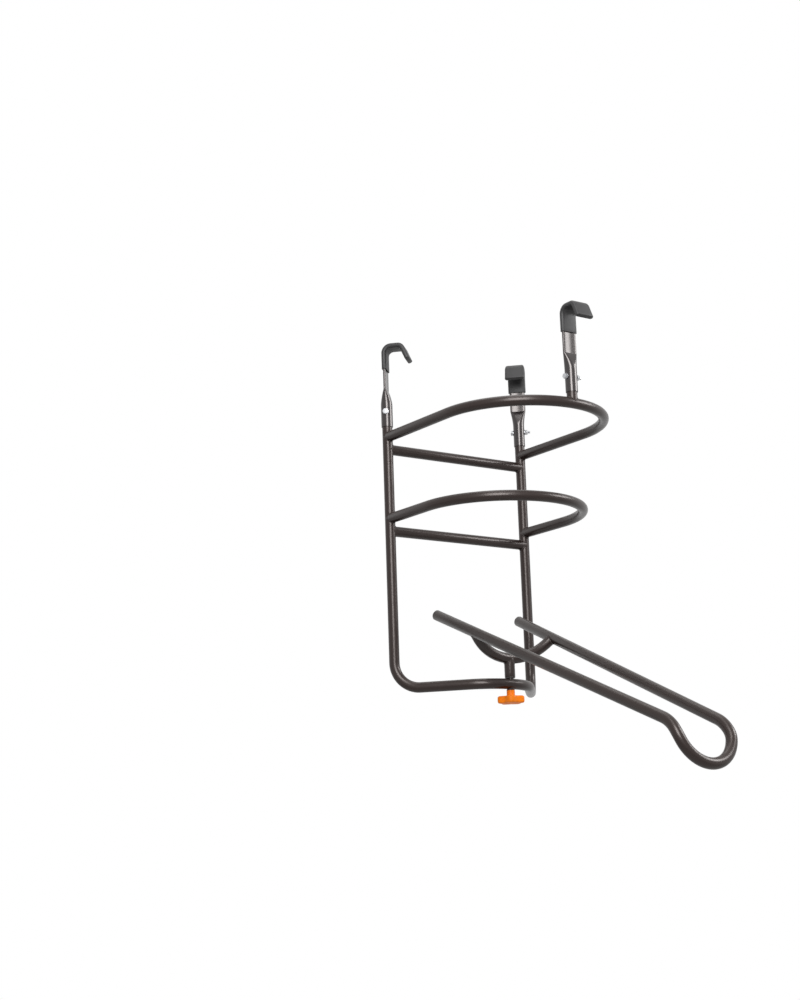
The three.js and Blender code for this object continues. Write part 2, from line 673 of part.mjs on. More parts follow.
returner.add(
  piece('frame_tube', frameTubeGeometry(), paint),
  piece('upper_hoop', hoopGeometry(UPPER_HOOP_DROP, UPPER_HOOP_REACH), paint),
  piece('lower_hoop', hoopGeometry(LOWER_HOOP_DROP, LOWER_HOOP_REACH), paint),
  piece('upper_crossbar', crossbarGeometry(UPPER_HOOP_DROP + CROSSBAR_BELOW_HOOP), paint),
  piece('lower_crossbar', crossbarGeometry(LOWER_HOOP_DROP + CROSSBAR_BELOW_HOOP), paint),
  piece('front_stub', frontStubGeometry(), paint),
  hookSet('left', -legX, legY, Math.atan2(-legY, legX)),
  hookSet('right', legX, legY, Math.atan2(-legY, -legX)),
  hookSet('front', 0, stubY, Math.atan2(-1, 0)),
);

// The chute's pieces share one frame, tilted down to the court about the pivot
const chute = new THREE.Group();
chute.position.set(0, PIVOT_BEHIND_RIM_CENTRE, railPivotZ);
chute.rotation.x = CHUTE_PITCH;
chute.add(
  piece('chute_rails', railsGeometry(), paint),
  piece('chute_cradle', cradleGeometry(), paint),
  railPlug('rail_plug_left', -1),
  railPlug('rail_plug_right', 1),
);
returner.add(chute);

// The swivel's pieces are turned about the post's own upright axis
const insertBottom = postBottom + SEAT_GAP;
const stud = barAlong(straightRoute(
  new THREE.Vector3(0, 0, knobTop - STUD_IN_KNOB),
  new THREE.Vector3(0, 0, insertBottom + STUD_IN_INSERT),
), STUD_RADIUS, ROUND_SIDES);
const studBore = aroundRadius(STUD_RADIUS + BORE_FIT, ROUND_SIDES);
const insertRadius = TUBE_RADIUS - POST_WALL - BORE_FIT;
const swivel = new THREE.Group();
swivel.position.set(0, PIVOT_BEHIND_RIM_CENTRE, 0);
swivel.add(
  piece('pivot_bush', ring(studBore, BUSH_RADIUS, bushBottom, bushTop - bushBottom), paint),
  piece('slip_washer', ring(studBore, SLIP_WASHER_RADIUS, slipWasherBottom, SLIP_WASHER_THICKNESS), nylon),
  piece('post_insert', ring(studBore, insertRadius, insertBottom, INSERT_LENGTH), zinc),
  piece('knob_washer', ring(
    studBore,
    KNOB_WASHER_RADIUS,
    knobWasherTop - KNOB_WASHER_THICKNESS,
    KNOB_WASHER_THICKNESS,
  ), blackPlastic),
  piece('knob_stud', stud, zinc),
  piece('clamp_knob', knobGeometry(), orangePlastic),
);
returner.add(swivel, piece('swivel_post', postGeometry(), paint));

export default returner;
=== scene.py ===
"""Basketball return: the dressed model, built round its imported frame.

A welded tube cage hangs from a hoop's rim on three padded hooks. At its foot a chute of bent tube
swivels on a post and is locked where it points by an orange screw knob. Sizes are in metres, +Z up.
The origin is the centre of the rim, -Y points to the court and +Y to the backboard.
"""
import logging
import math
from dataclasses import dataclass
from enum import Enum
from typing import Iterator, Sequence

import bmesh
import bpy
from mathutils import Matrix, Vector


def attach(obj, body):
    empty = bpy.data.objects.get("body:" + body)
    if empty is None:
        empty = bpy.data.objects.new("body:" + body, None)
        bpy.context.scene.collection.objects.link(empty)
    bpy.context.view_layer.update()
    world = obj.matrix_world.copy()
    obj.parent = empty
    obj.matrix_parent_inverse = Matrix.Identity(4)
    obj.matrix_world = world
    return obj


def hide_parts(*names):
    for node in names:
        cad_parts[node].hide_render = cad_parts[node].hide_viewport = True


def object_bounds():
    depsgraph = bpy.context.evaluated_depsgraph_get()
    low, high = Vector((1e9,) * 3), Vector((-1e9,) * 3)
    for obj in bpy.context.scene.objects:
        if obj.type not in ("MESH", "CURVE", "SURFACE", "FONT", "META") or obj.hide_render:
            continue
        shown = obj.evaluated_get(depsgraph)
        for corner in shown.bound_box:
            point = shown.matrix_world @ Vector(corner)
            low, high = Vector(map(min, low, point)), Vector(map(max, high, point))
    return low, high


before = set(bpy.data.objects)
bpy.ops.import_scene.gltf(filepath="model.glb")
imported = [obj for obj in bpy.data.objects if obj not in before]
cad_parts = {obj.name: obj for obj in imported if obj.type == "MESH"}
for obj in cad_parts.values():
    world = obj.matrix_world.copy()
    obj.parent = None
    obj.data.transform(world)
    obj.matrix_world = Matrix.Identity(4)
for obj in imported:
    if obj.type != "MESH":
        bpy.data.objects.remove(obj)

LOG = logging.getLogger("basketball_return")
CAD_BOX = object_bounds()

X = Vector((1.0, 0.0, 0.0))
Y = Vector((0.0, 1.0, 0.0))
Z = Vector((0.0, 0.0, 1.0))
BEND_STEP = math.radians(3.0)
SMOOTH_ANGLE = math.radians(32.0)
CREASE_ANGLE = math.radians(14.0)
MERGE_DISTANCE = 1e-6
EASE_WIDTH = 0.0003
EASE_SEGMENTS = 2
EASE_ANGLE = math.radians(50.0)
TURNED_SIDES = 64
DRILL_SIDES = 32
CUT_OVERRUN = 0.003
COPE_SINK = 0.0002
SEAT_GAP = 0.0003
THREAD_RINGS = 10
THREAD_DEPTH_SHARE = 0.6


class Body(Enum):
    """The rigid bodies that pieces ride on."""

    FRAME = "frame"
    CHUTE = "chute"
    CLAMP_TRAVEL = "clamp_travel"
    CLAMP_SCREW = "clamp_screw"


class Slot(Enum):
    """The record's material slots."""

    POWDER_COAT = "powder_coat"
    ZINC = "zinc"
    SOFT_VINYL = "soft_vinyl"
    BLACK_PLASTIC = "black_plastic"
    ORANGE_PLASTIC = "orange_plastic"
    NYLON = "nylon"


class Side(Enum):
    """Left and right seen from the court, by the sign of X."""

    LEFT = -1
    RIGHT = 1

    @property
    def word(self) -> str:
        """The side's name in lower case."""
        return self.name.lower()


@dataclass(frozen=True)
class TubeStock:
    """The round steel tube that the cage and the chute are bent from.

    Args:
        radius: outside radius.
        wall: wall thickness.
        sides: facets round the tube.
    """

    radius: float = 0.0111
    wall: float = 0.0015
    sides: int = 64


STOCK = TubeStock()


class Wiring:
    """Short calls that add shader nodes to a tree and link them."""

    def __init__(self, tree: bpy.types.NodeTree) -> None:
        """Start on a node tree."""
        self.tree = tree

    def node(self, kind: str, settings: dict | None = None, values: dict | None = None) -> bpy.types.Node:
        """Add a node.

        Args:
            kind: the node's type, such as ShaderNodeTexNoise.
            settings: properties to set on the node.
            values: input sockets to fill, by name or by number. A socket given here is linked.

        Returns:
            The new node.
        """
        made = self.tree.nodes.new(kind)
        for name, value in (settings or {}).items():
            setattr(made, name, value)
        for name, value in (values or {}).items():
            if isinstance(value, bpy.types.NodeSocket):
                self.tree.links.new(value, made.inputs[name])
            else:
                made.inputs[name].default_value = value
        return made

    def maths(self, operation: str, first: object, second: object = 0.0) -> bpy.types.NodeSocket:
        """Add a maths node for two sockets or numbers, and give its result's socket."""
        return self.node("ShaderNodeMath", {"operation": operation}, {0: first, 1: second}).outputs[0]

    def ramp(self, value: bpy.types.NodeSocket, low: float, high: float,
             start: float = 0.0, end: float = 1.0) -> bpy.types.NodeSocket:
        """Map a value so that low gives start and high gives end."""
        values = {"Value": value, "From Min": low, "From Max": high, "To Min": start, "To Max": end}
        return self.node("ShaderNodeMapRange", values=values).outputs["Result"]

    def mix(self, share: object, first: object, second: object) -> bpy.types.NodeSocket:
        """Mix two colours, each a socket or numbers. The share is how much of the second shows."""
        node = self.node("ShaderNodeMix", {"data_type": "RGBA"}, {0: share, 6: first, 7: second})
        return node.outputs[2]


def new_group(name: str, inputs: Sequence[str], outputs: Sequence[str]) -> tuple[Wiring, dict, dict]:
    """Make an empty shader node group with named sockets.

    Args:
        name: the group's name.
        inputs: its number inputs, all of which each material fills.
        outputs: its number outputs.

    Returns:
        The group's wiring, its input sockets by name and its output sockets by name.
    """
    tree = bpy.data.node_groups.new(name, "ShaderNodeTree")
    for title in inputs:
        tree.interface.new_socket(title, in_out="INPUT", socket_type="NodeSocketFloat")
    for title in outputs:
        tree.interface.new_socket(title, in_out="OUTPUT", socket_type="NodeSocketFloat")
    source = tree.nodes.new("NodeGroupInput")
    sink = tree.nodes.new("NodeGroupOutput")
    taken = {title: source.outputs[title] for title in inputs}
    given = {title: sink.inputs[title] for title in outputs}
    return Wiring(tree), taken, given


@dataclass(frozen=True)
class OrangePeel:
    """The node group for a sprayed or moulded skin: soft waves, a finer grain on them and broad patches.

    Args:
        wave_detail: layers of noise in the waves.
        grain_detail: layers of noise in the grain.
        patch_scale: how close the patches lie.
        patch_detail: layers of noise in the patches.
        patched: levels of noise between which a patch fades in.
    """

    wave_detail: float = 1.5
    grain_detail: float = 2.0
    patch_scale: float = 24.0
    patch_detail: float = 3.0
    patched: tuple[float, float] = (0.35, 0.65)

    def build(self) -> bpy.types.NodeTree:
        """Build the group.

        Returns:
            A group with inputs Wave Size, Grain Size and Grain Share, and outputs Height and Patch.
        """
        wiring, taken, given = new_group(
            "Orange peel", ("Wave Size", "Grain Size", "Grain Share"), ("Height", "Patch"))
        place = wiring.node("ShaderNodeTexCoord").outputs["Object"]
        waves = wiring.node("ShaderNodeTexNoise", values={
            "Vector": place, "Detail": self.wave_detail,
            "Scale": wiring.maths("DIVIDE", 1.0, taken["Wave Size"])})
        grain = wiring.node("ShaderNodeTexNoise", values={
            "Vector": place, "Detail": self.grain_detail,
            "Scale": wiring.maths("DIVIDE", 1.0, taken["Grain Size"])})
        patch = wiring.node("ShaderNodeTexNoise", values={
            "Vector": place, "Scale": self.patch_scale, "Detail": self.patch_detail})
        fine = wiring.maths("MULTIPLY", grain.outputs["Fac"], taken["Grain Share"])
        link = wiring.tree.links.new
        link(wiring.maths("ADD", waves.outputs["Fac"], fine), given["Height"])
        link(wiring.ramp(patch.outputs["Fac"], *self.patched), given["Patch"])
        return wiring.tree


@dataclass(frozen=True)
class HandlingMarks:
    """The node group for what use leaves on a surface: rubbed ridges, hairline scratches and dust.

    Args:
        breakup_scale: how close the noise lies that breaks the marks up.
        breakup_detail: layers of that noise.
        ridge: pointiness between which a ridge comes to be rubbed.
        rubbed: levels of noise between which it is rubbed.
        scratch_scale: how close the scratches lie.
        scratch_squeeze: scale of their pattern along Z, which draws them out.
        scratch_width: width of a scratch in its pattern.
        scratched: levels of noise between which scratches show.
        facing_up: lean towards +Z between which dust comes to lie.
        dusty: levels of noise between which it lies thick.
        dust_floor: how much dust lies where the noise is lowest.
    """

    breakup_scale: float = 160.0
    breakup_detail: float = 6.0
    ridge: tuple[float, float] = (0.53, 0.62)
    rubbed: tuple[float, float] = (0.42, 0.62)
    scratch_scale: float = 130.0
    scratch_squeeze: float = 0.05
    scratch_width: float = 0.035
    scratched: tuple[float, float] = (0.55, 0.7)
    facing_up: tuple[float, float] = (0.35, 1.0)
    dusty: tuple[float, float] = (0.3, 0.7)
    dust_floor: float = 0.4

    def build(self) -> bpy.types.NodeTree:
        """Build the group.

        Returns:
            A group with inputs Rub, Scratch and Dust, and an output mask for each.
        """
        wiring, taken, given = new_group(
            "Handling marks", ("Rub", "Scratch", "Dust"), ("Rub Mask", "Scratch Mask", "Dust Mask"))
        place = wiring.node("ShaderNodeTexCoord").outputs["Object"]
        geometry = wiring.node("ShaderNodeNewGeometry")
        breakup = wiring.node("ShaderNodeTexNoise", values={
            "Vector": place, "Scale": self.breakup_scale, "Detail": self.breakup_detail}).outputs["Fac"]
        ridge = wiring.ramp(geometry.outputs["Pointiness"], *self.ridge)
        rubbed = wiring.maths("MULTIPLY", ridge, wiring.ramp(breakup, *self.rubbed))
        squeezed = wiring.node("ShaderNodeMapping", values={
            "Vector": place, "Scale": (1.0, 1.0, self.scratch_squeeze)})
        lines = wiring.node("ShaderNodeTexVoronoi", {"feature": "DISTANCE_TO_EDGE"}, {
            "Vector": squeezed.outputs["Vector"], "Scale": self.scratch_scale})
        hairline = wiring.ramp(lines.outputs["Distance"], 0.0, self.scratch_width, 1.0, 0.0)
        scratched = wiring.maths("MULTIPLY", hairline, wiring.ramp(breakup, *self.scratched))
        up = wiring.node("ShaderNodeSeparateXYZ", values={0: geometry.outputs["Normal"]}).outputs["Z"]
        lying = wiring.maths("MULTIPLY", wiring.ramp(up, *self.facing_up),
                             wiring.ramp(breakup, *self.dusty, self.dust_floor))
        for title, mask in (("Rub", rubbed), ("Scratch", scratched), ("Dust", lying)):
            wiring.tree.links.new(wiring.maths("MULTIPLY", mask, taken[title]), given[f"{title} Mask"])
        return wiring.tree


@dataclass(frozen=True)
class Finish:
    """How one material looks, from its colour to the marks on it.

    Args:
        title: the material's name.
        slot: the record's slot that it belongs to; not used.
        colour: linear base colour.
        second_colour: linear colour that the patches drift to.
        roughness: roughness of the even surface.
        drift: how far the patches change colour and roughness, from 0 to 1.
        metallic: 1 on bare metal.
        wave_size: width of the skin's waves.
        grain_size: width of the finer grain on them.
        grain_share: height of the grain over that of the waves.
        relief: height of the skin's relief.
        rub: strength of rubbed ridges.
        scratch: strength of scratches.
        dust: strength of dust on upward faces.
        sheen: weight of a soft sheen.
        gloss: strength of the clear reflection, 0.5 on common plastic and paint.
        cast: colour of the clear reflection, a little warm on a brown-black coat.
    """

    title: str
    slot: Slot
    colour: tuple[float, float, float]
    second_colour: tuple[float, float, float]
    roughness: float
    drift: float = 0.25
    metallic: float = 0.0
    wave_size: float = 0.0016
    grain_size: float = 0.0004
    grain_share: float = 0.35
    relief: float = 0.00002
    rub: float = 0.15
    scratch: float = 0.1
    dust: float = 0.04
    sheen: float = 0.0
    gloss: float = 0.5
    cast: tuple[float, float, float] = (1.0, 1.0, 1.0)

    RUBBED_LIFT = 2.2
    PATCH_ROUGHENING = 1.6
    DUST_ROUGHENING = 0.6
    DUST_COLOUR = (0.42, 0.38, 0.33, 1.0)

    def build(self, peel: bpy.types.NodeTree, handling: bpy.types.NodeTree) -> bpy.types.Material:
        """Build the material.

        Args:
            peel: the skin's node group.
            handling: the node group of marks.

        Returns:
            The finished material.
        """
        material = bpy.data.materials.new(self.title)
        material.use_nodes = True
        wiring = Wiring(material.node_tree)
        shader = material.node_tree.nodes["Principled BSDF"]
        skin = wiring.node("ShaderNodeGroup", {"node_tree": peel}, {
            "Wave Size": self.wave_size, "Grain Size": self.grain_size, "Grain Share": self.grain_share})
        marks = wiring.node("ShaderNodeGroup", {"node_tree": handling}, {
            "Rub": self.rub, "Scratch": self.scratch, "Dust": self.dust})
        drifting = wiring.maths("MULTIPLY", skin.outputs["Patch"], self.drift)
        colour = wiring.mix(drifting, (*self.colour, 1.0), (*self.second_colour, 1.0))
        worn = tuple(min(1.0, channel * self.RUBBED_LIFT) for channel in self.colour)
        for mask, shade in (("Rub Mask", (*worn, 1.0)), ("Scratch Mask", (*worn, 1.0)),
                            ("Dust Mask", self.DUST_COLOUR)):
            colour = wiring.mix(marks.outputs[mask], colour, shade)
        roughest = min(1.0, self.roughness * self.PATCH_ROUGHENING)
        rough = wiring.ramp(drifting, 0.0, 1.0, self.roughness, roughest)
        dusty = wiring.maths("MULTIPLY", marks.outputs["Dust Mask"], self.DUST_ROUGHENING)
        rough = wiring.maths("ADD", rough, dusty)
        bump = wiring.node("ShaderNodeBump", values={
            "Height": skin.outputs["Height"], "Distance": self.relief})
        link = material.node_tree.links.new
        link(colour, shader.inputs["Base Color"])
        link(rough, shader.inputs["Roughness"])
        link(bump.outputs["Normal"], shader.inputs["Normal"])
        shader.inputs["Metallic"].default_value = self.metallic
        shader.inputs["Sheen Weight"].default_value = self.sheen
        shader.inputs["Specular IOR Level"].default_value = self.gloss
        shader.inputs["Specular Tint"].default_value = (*self.cast, 1.0)
        return material


COAT_CAST = (1.0, 0.92, 0.89)
POWDER_COAT = Finish(
    "Satin powder coat", Slot.POWDER_COAT, (0.013, 0.0075, 0.0065), (0.018, 0.011, 0.0095),
    roughness=0.29, relief=0.000006, grain_share=0.15, gloss=0.42, cast=COAT_CAST)
HOOK_COAT = Finish(
    "Glossy powder coat", Slot.POWDER_COAT, (0.012, 0.0095, 0.01), (0.016, 0.0125, 0.0135),
    roughness=0.19, relief=0.000004, grain_share=0.15, gloss=0.68, cast=(1.0, 0.94, 0.92))
WELD_COAT = Finish(
    "Powder coat over weld", Slot.POWDER_COAT, (0.012, 0.007, 0.006), (0.016, 0.0095, 0.0085),
    roughness=0.32, wave_size=0.0011, gloss=0.42, cast=COAT_CAST)
ZINC_PLATE = Finish(
    "Zinc plate", Slot.ZINC, (0.47, 0.48, 0.5), (0.4, 0.4, 0.39), roughness=0.34, metallic=1.0,
    wave_size=0.0009, grain_size=0.0002, rub=0.3, scratch=0.3, dust=0.03)
DIPPED_VINYL = Finish(
    "Dipped vinyl", Slot.SOFT_VINYL, (0.019, 0.0185, 0.019), (0.027, 0.026, 0.027), roughness=0.48,
    wave_size=0.0035, grain_size=0.0005, grain_share=0.2, relief=0.00003, rub=0.2, scratch=0.15,
    dust=0.05, sheen=0.03, gloss=0.42)
BLACK_PLASTIC = Finish(
    "Black moulded plastic", Slot.BLACK_PLASTIC, (0.017, 0.0145, 0.014), (0.024, 0.021, 0.02),
    roughness=0.42, wave_size=0.0008, grain_size=0.0003, grain_share=0.6, relief=0.00004)
ORANGE_PLASTIC = Finish(
    "Orange moulded plastic", Slot.ORANGE_PLASTIC, (0.88, 0.208, 0.002), (0.82, 0.182, 0.002),
    roughness=0.42, wave_size=0.0011, grain_size=0.0003, grain_share=0.5, relief=0.00004, rub=0.1,
    scratch=0.12, dust=0.03, gloss=0.25)
NYLON = Finish(
    "Grey nylon", Slot.NYLON, (0.042, 0.039, 0.036), (0.05, 0.047, 0.043), roughness=0.45, relief=0.00003)


class PaintShop:
    """Every finish of the object, each built once and put on pieces as they are done."""

    def __init__(self) -> None:
        """Build the shared node groups and leave the materials to be made as they are asked for."""
        self.peel = OrangePeel().build()
        self.handling = HandlingMarks().build()
        self.materials: dict[str, bpy.types.Material] = {}

    def coat(self, piece: bpy.types.Object, finish: Finish) -> None:
        """Give a piece its finish.

        Args:
            piece: the piece.
            finish: the finish to put on it.
        """
        if finish.title not in self.materials:
            self.materials[finish.title] = finish.build(self.peel, self.handling)
        piece.data.materials.clear()
        piece.data.materials.append(self.materials[finish.title])


def let_go() -> None:
    """Leave edit mode and deselect everything."""
    if bpy.context.object and bpy.context.object.mode != "OBJECT":
        bpy.ops.object.mode_set(mode="OBJECT")
    bpy.ops.object.select_all(action="DESELECT")


def take(piece: bpy.types.Object) -> None:
    """Select one piece alone and make it active.

    Args:
        piece: the piece.
    """
    let_go()
    piece.select_set(True)
    bpy.context.view_layer.objects.active = piece


def settle(piece: bpy.types.Object) -> None:
    """Put a piece's place, turn and scale into its mesh."""
    take(piece)
    bpy.ops.object.transform_apply(location=True, rotation=True, scale=True)


def name_piece(piece: bpy.types.Object, name: str) -> bpy.types.Object:
    """Name a piece and its mesh alike.

    Args:
        piece: the piece.
        name: the name of both.

    Returns:
        The piece.
    """
    piece.name = name
    piece.data.name = name
    return piece


def place_piece(piece: bpy.types.Object, place: Matrix) -> bpy.types.Object:
    """Move a piece from its own frame to its place in the whole.

    Args:
        piece: the piece.
        place: its own frame's place in the whole.

    Returns:
        The piece.
    """
    piece.matrix_world = place
    settle(piece)
    return piece


def smooth(piece: bpy.types.Object, angle: float = SMOOTH_ANGLE) -> None:
    """Shade a piece smooth, apart from edges sharper than an angle."""
    take(piece)
    bpy.ops.object.shade_smooth_by_angle(angle=angle)


def finish_with(piece: bpy.types.Object, kind: str, settings: dict[str, object]) -> None:
    """Put a modifier on a piece and apply it.

    Args:
        piece: the piece.
        kind: the modifier's type.
        settings: the modifier's properties.
    """
    take(piece)
    modifier = piece.modifiers.new(kind.title(), kind)
    for name, value in settings.items():
        setattr(modifier, name, value)
    bpy.ops.object.modifier_apply(modifier=modifier.name)


def ease_edges(piece: bpy.types.Object, width: float = EASE_WIDTH, angle: float = EASE_ANGLE) -> None:
    """Round a piece's sharp edges.

    Args:
        piece: the piece.
        width: how far back from the edge the rounding starts.
        angle: the smallest angle between faces that is rounded.
    """
    finish_with(piece, "BEVEL", {
        "width": width, "segments": EASE_SEGMENTS, "limit_method": "ANGLE", "angle_limit": angle,
        "use_clamp_overlap": True})


def bore_out(piece: bpy.types.Object, centre: Vector, direction: Vector, radius: float,
             length: float) -> None:
    """Drill a round hole through a piece.

    Args:
        piece: the piece to drill.
        centre: the middle of the hole.
        direction: the way the drill runs.
        radius: the hole's radius.
        length: how far the drill reaches in all.
    """
    let_go()
    turn = direction.to_track_quat("Z", "Y").to_euler()
    bpy.ops.mesh.primitive_cylinder_add(
        vertices=DRILL_SIDES, radius=radius, depth=length, location=centre, rotation=turn)
    drill = bpy.context.object
    finish_with(piece, "BOOLEAN", {"object": drill, "operation": "DIFFERENCE", "solver": "EXACT"})
    bpy.data.objects.remove(drill, do_unlink=True)


def cope(piece: bpy.types.Object, seat: Vector, host: Vector) -> None:
    """Cut a tube to the curve of the one that it is welded to, which runs along host through seat."""
    bore_out(piece, seat, host, STOCK.radius - COPE_SINK, 4 * STOCK.radius)
    smooth(piece)


def close_seams() -> None:
    """Merge the doubles of the mesh in edit mode and turn its faces outwards."""
    bpy.ops.mesh.select_all(action="SELECT")
    bpy.ops.mesh.remove_doubles(threshold=MERGE_DISTANCE)
    bpy.ops.mesh.normals_make_consistent(inside=False)


class TubeBender:
    """A tube in the making: an open ring pushed along straight runs and spun round bends."""

    def __init__(self, name: str, start: Vector, heading: Vector, radius: float = STOCK.radius,
                 sides: int = STOCK.sides) -> None:
        """Lay the first ring.

        Args:
            name: the piece's name.
            start: where the centreline starts.
            heading: the way it runs from there.
            radius: outside radius.
            sides: facets round the tube.
        """
        let_go()
        turn = heading.to_track_quat("Z", "Y").to_euler()
        bpy.ops.mesh.primitive_circle_add(vertices=sides, radius=radius, location=start, rotation=turn)
        self.piece = name_piece(bpy.context.object, name)
        settle(self.piece)
        bpy.ops.object.mode_set(mode="EDIT")
        bpy.ops.mesh.select_all(action="SELECT")
        self.place = start.copy()
        self.heading = heading.normalized()
        self.half_width = radius
        self.half_thickness = radius

    def straight(self, length: float, steps: int = 1) -> "TubeBender":
        """Push the ring straight on.

        Args:
            length: how far.
            steps: how many rings to leave on the way.

        Returns:
            The bender itself.
        """
        run = self.heading * (length / steps)
        for _ in range(steps):
            bpy.ops.mesh.extrude_edges_move(TRANSFORM_OT_translate={"value": run})
            self.place += run
        return self

    def bend(self, towards: Vector, radius: float, step: float = BEND_STEP) -> "TubeBender":
        """Spin the ring round a bend.

        Args:
            towards: the heading after the bend.
            radius: the centreline's bend radius.
            step: the largest angle between two rings.

        Returns:
            The bender itself.
        """
        axis = self.heading.cross(towards).normalized()
        angle = self.heading.angle(towards)
        self.spin(axis, angle, radius, max(2, math.ceil(angle / step)))
        self.heading = towards.normalized()
        return self

    def spin(self, axis: Vector, angle: float, radius: float, steps: int = 1) -> "TubeBender":
        """Spin the ring about an axis on the inside of the bend.

        Args:
            axis: the way the axis points.
            angle: the angle of the whole spin.
            radius: the centreline's bend radius.
            steps: how many rings to leave on the way.

        Returns:
            The bender itself.
        """
        centre = self.place + axis.cross(self.heading) * radius
        turn = Matrix.Rotation(angle, 3, axis)
        # The operator turns against the right-hand rule
        bpy.ops.mesh.spin(steps=steps, angle=-angle, center=centre, axis=axis)
        self.place = centre + turn @ (self.place - centre)
        self.heading = turn @ self.heading
        return self

    def _spread(self, shift: float) -> None:
        """Move the two halves of the last ring apart along Y.

        Args:
            shift: how far each half moves out.
        """
        mesh = bmesh.from_edit_mesh(self.piece.data)
        for vert in mesh.verts:
            offset = vert.co.y - self.place.y
            if vert.select and abs(offset) > MERGE_DISTANCE:
                vert.co.y += shift if offset > 0 else -shift
        bmesh.update_edit_mesh(self.piece.data)

    def press(self, half_width: float, half_thickness: float) -> "TubeBender":
        """Press the last ring flat, its width along Y and its edges round.

        Args:
            half_width: half the strip's width.
            half_thickness: half its thickness, and the radius of its edges.

        Returns:
            The bender itself.
        """
        self._spread(self.half_thickness - self.half_width)
        ratio = half_thickness / self.half_thickness
        bpy.ops.transform.resize(value=(ratio, ratio, ratio), center_override=self.place)
        self._spread(half_width - half_thickness)
        self.half_width = half_width
        self.half_thickness = half_thickness
        return self

    def dish(self, depth: float, half_span: float, bottom: float, top: float, cuts: int) -> "TubeBender":
        """Sink both faces of a pressed strip along their middle, as the press leaves them.

        Args:
            depth: how deep the middle sinks.
            half_span: half the width that sinks.
            bottom: height where the dish starts.
            top: height where it is at its full depth.
            cuts: how many bands the strip is cut into for it.

        Returns:
            The bender itself.
        """
        close_seams()
        for i in range(1, cuts):
            bpy.ops.mesh.select_all(action="SELECT")
            bpy.ops.mesh.bisect(plane_co=Y * half_span * (2 * i / cuts - 1), plane_no=Y)
        mesh = bmesh.from_edit_mesh(self.piece.data)
        mesh.normal_update()
        sinks = {}
        for vert in mesh.verts:
            if abs(vert.co.y) < half_span and vert.co.z > bottom:
                share = math.cos(math.pi / 2 * vert.co.y / half_span) ** 2
                share *= min(1.0, (vert.co.z - bottom) / (top - bottom))
                sinks[vert] = vert.normal * (depth * share)
        for vert, sink in sinks.items():
            vert.co -= sink
        bmesh.update_edit_mesh(self.piece.data)
        return self

    def close_end(self) -> "TubeBender":
        """Fill the last ring with a face."""
        bpy.ops.mesh.edge_face_add()
        return self

    def done(self, wall: float = STOCK.wall, edge: float = EASE_WIDTH) -> bpy.types.Object:
        """Finish the tube with its wall thickness and eased ends.

        Args:
            wall: the wall's thickness, inwards.
            edge: width of the rounding on its sharp edges.

        Returns:
            The finished piece.
        """
        close_seams()
        finish_with(self.piece, "SOLIDIFY", {"thickness": wall, "offset": -1.0})
        ease_edges(self.piece, edge)
        smooth(self.piece)
        return self.piece


def turn_profile(name: str, profile: Sequence[tuple[float, float]],
                 sides: int = TURNED_SIDES) -> bpy.types.Object:
    """Turn a piece about Z: draw its profile point by point, then spin it once round.

    Args:
        name: the piece's name.
        profile: corners as radius and height. It starts and ends on the axis, or closes on itself.
        sides: facets round the piece.

    Returns:
        The turned piece, in its own frame.
    """
    let_go()
    bpy.ops.mesh.primitive_plane_add(size=1.0)
    piece = name_piece(bpy.context.object, name)
    bpy.ops.object.mode_set(mode="EDIT")
    bpy.ops.mesh.select_all(action="SELECT")
    bpy.ops.mesh.merge(type="CENTER")
    corners = [Vector((radius, 0.0, height)) for radius, height in profile]
    bpy.ops.transform.translate(value=corners[0])
    for here, there in zip(corners, corners[1:]):
        bpy.ops.mesh.extrude_region_move(TRANSFORM_OT_translate={"value": there - here})
    bpy.ops.mesh.select_all(action="SELECT")
    bpy.ops.mesh.spin(steps=sides, angle=2 * math.pi, center=(0, 0, 0), axis=Z)
    close_seams()
    let_go()
    return piece


def rod_profile(radius: float, bottom: float, thread_start: float, top: float,
                pitch: float) -> list[tuple[float, float]]:
    """The profile of a rod with rings close enough for a thread on its upper end.

    Args:
        radius: the rod's radius.
        bottom: its lower end.
        thread_start: where the thread starts.
        top: its upper end.
        pitch: the thread's pitch.

    Returns:
        Points as radius and height.
    """
    rings = math.ceil(THREAD_RINGS * (top - thread_start) / pitch)
    stretch = [(radius, thread_start + (top - thread_start) * i / rings) for i in range(rings + 1)]
    return [(0.0, bottom), (radius, bottom), *stretch, (0.0, top)]


def cut_thread(piece: bpy.types.Object, pitch: float, start: float, end: float) -> None:
    """Cut a helical thread into a rod about Z, running out at both ends.

    Args:
        piece: the rod.
        pitch: the thread's pitch.
        start: where it starts.
        end: where it ends.
    """
    for vert in piece.data.vertices:
        radius = math.hypot(vert.co.x, vert.co.y)
        if radius < MERGE_DISTANCE or vert.co.z < start - MERGE_DISTANCE:
            continue
        phase = (vert.co.z / pitch - math.atan2(vert.co.y, vert.co.x) / (2 * math.pi)) % 1.0
        groove = THREAD_DEPTH_SHARE * pitch * abs(2 * phase - 1)
        run_out = min(1.0, (vert.co.z - start) / pitch)
        chamfer = max(0.0, THREAD_DEPTH_SHARE * pitch - (end - vert.co.z))
        slimmer = (radius - max(groove * run_out, chamfer)) / radius
        vert.co.x *= slimmer
        vert.co.y *= slimmer


def ring_profile(inner: float, outer: float, bottom: float, top: float) -> list[tuple[float, float]]:
    """The closed profile of a flat ring."""
    return [(inner, bottom), (outer, bottom), (outer, top), (inner, top), (inner, bottom)]


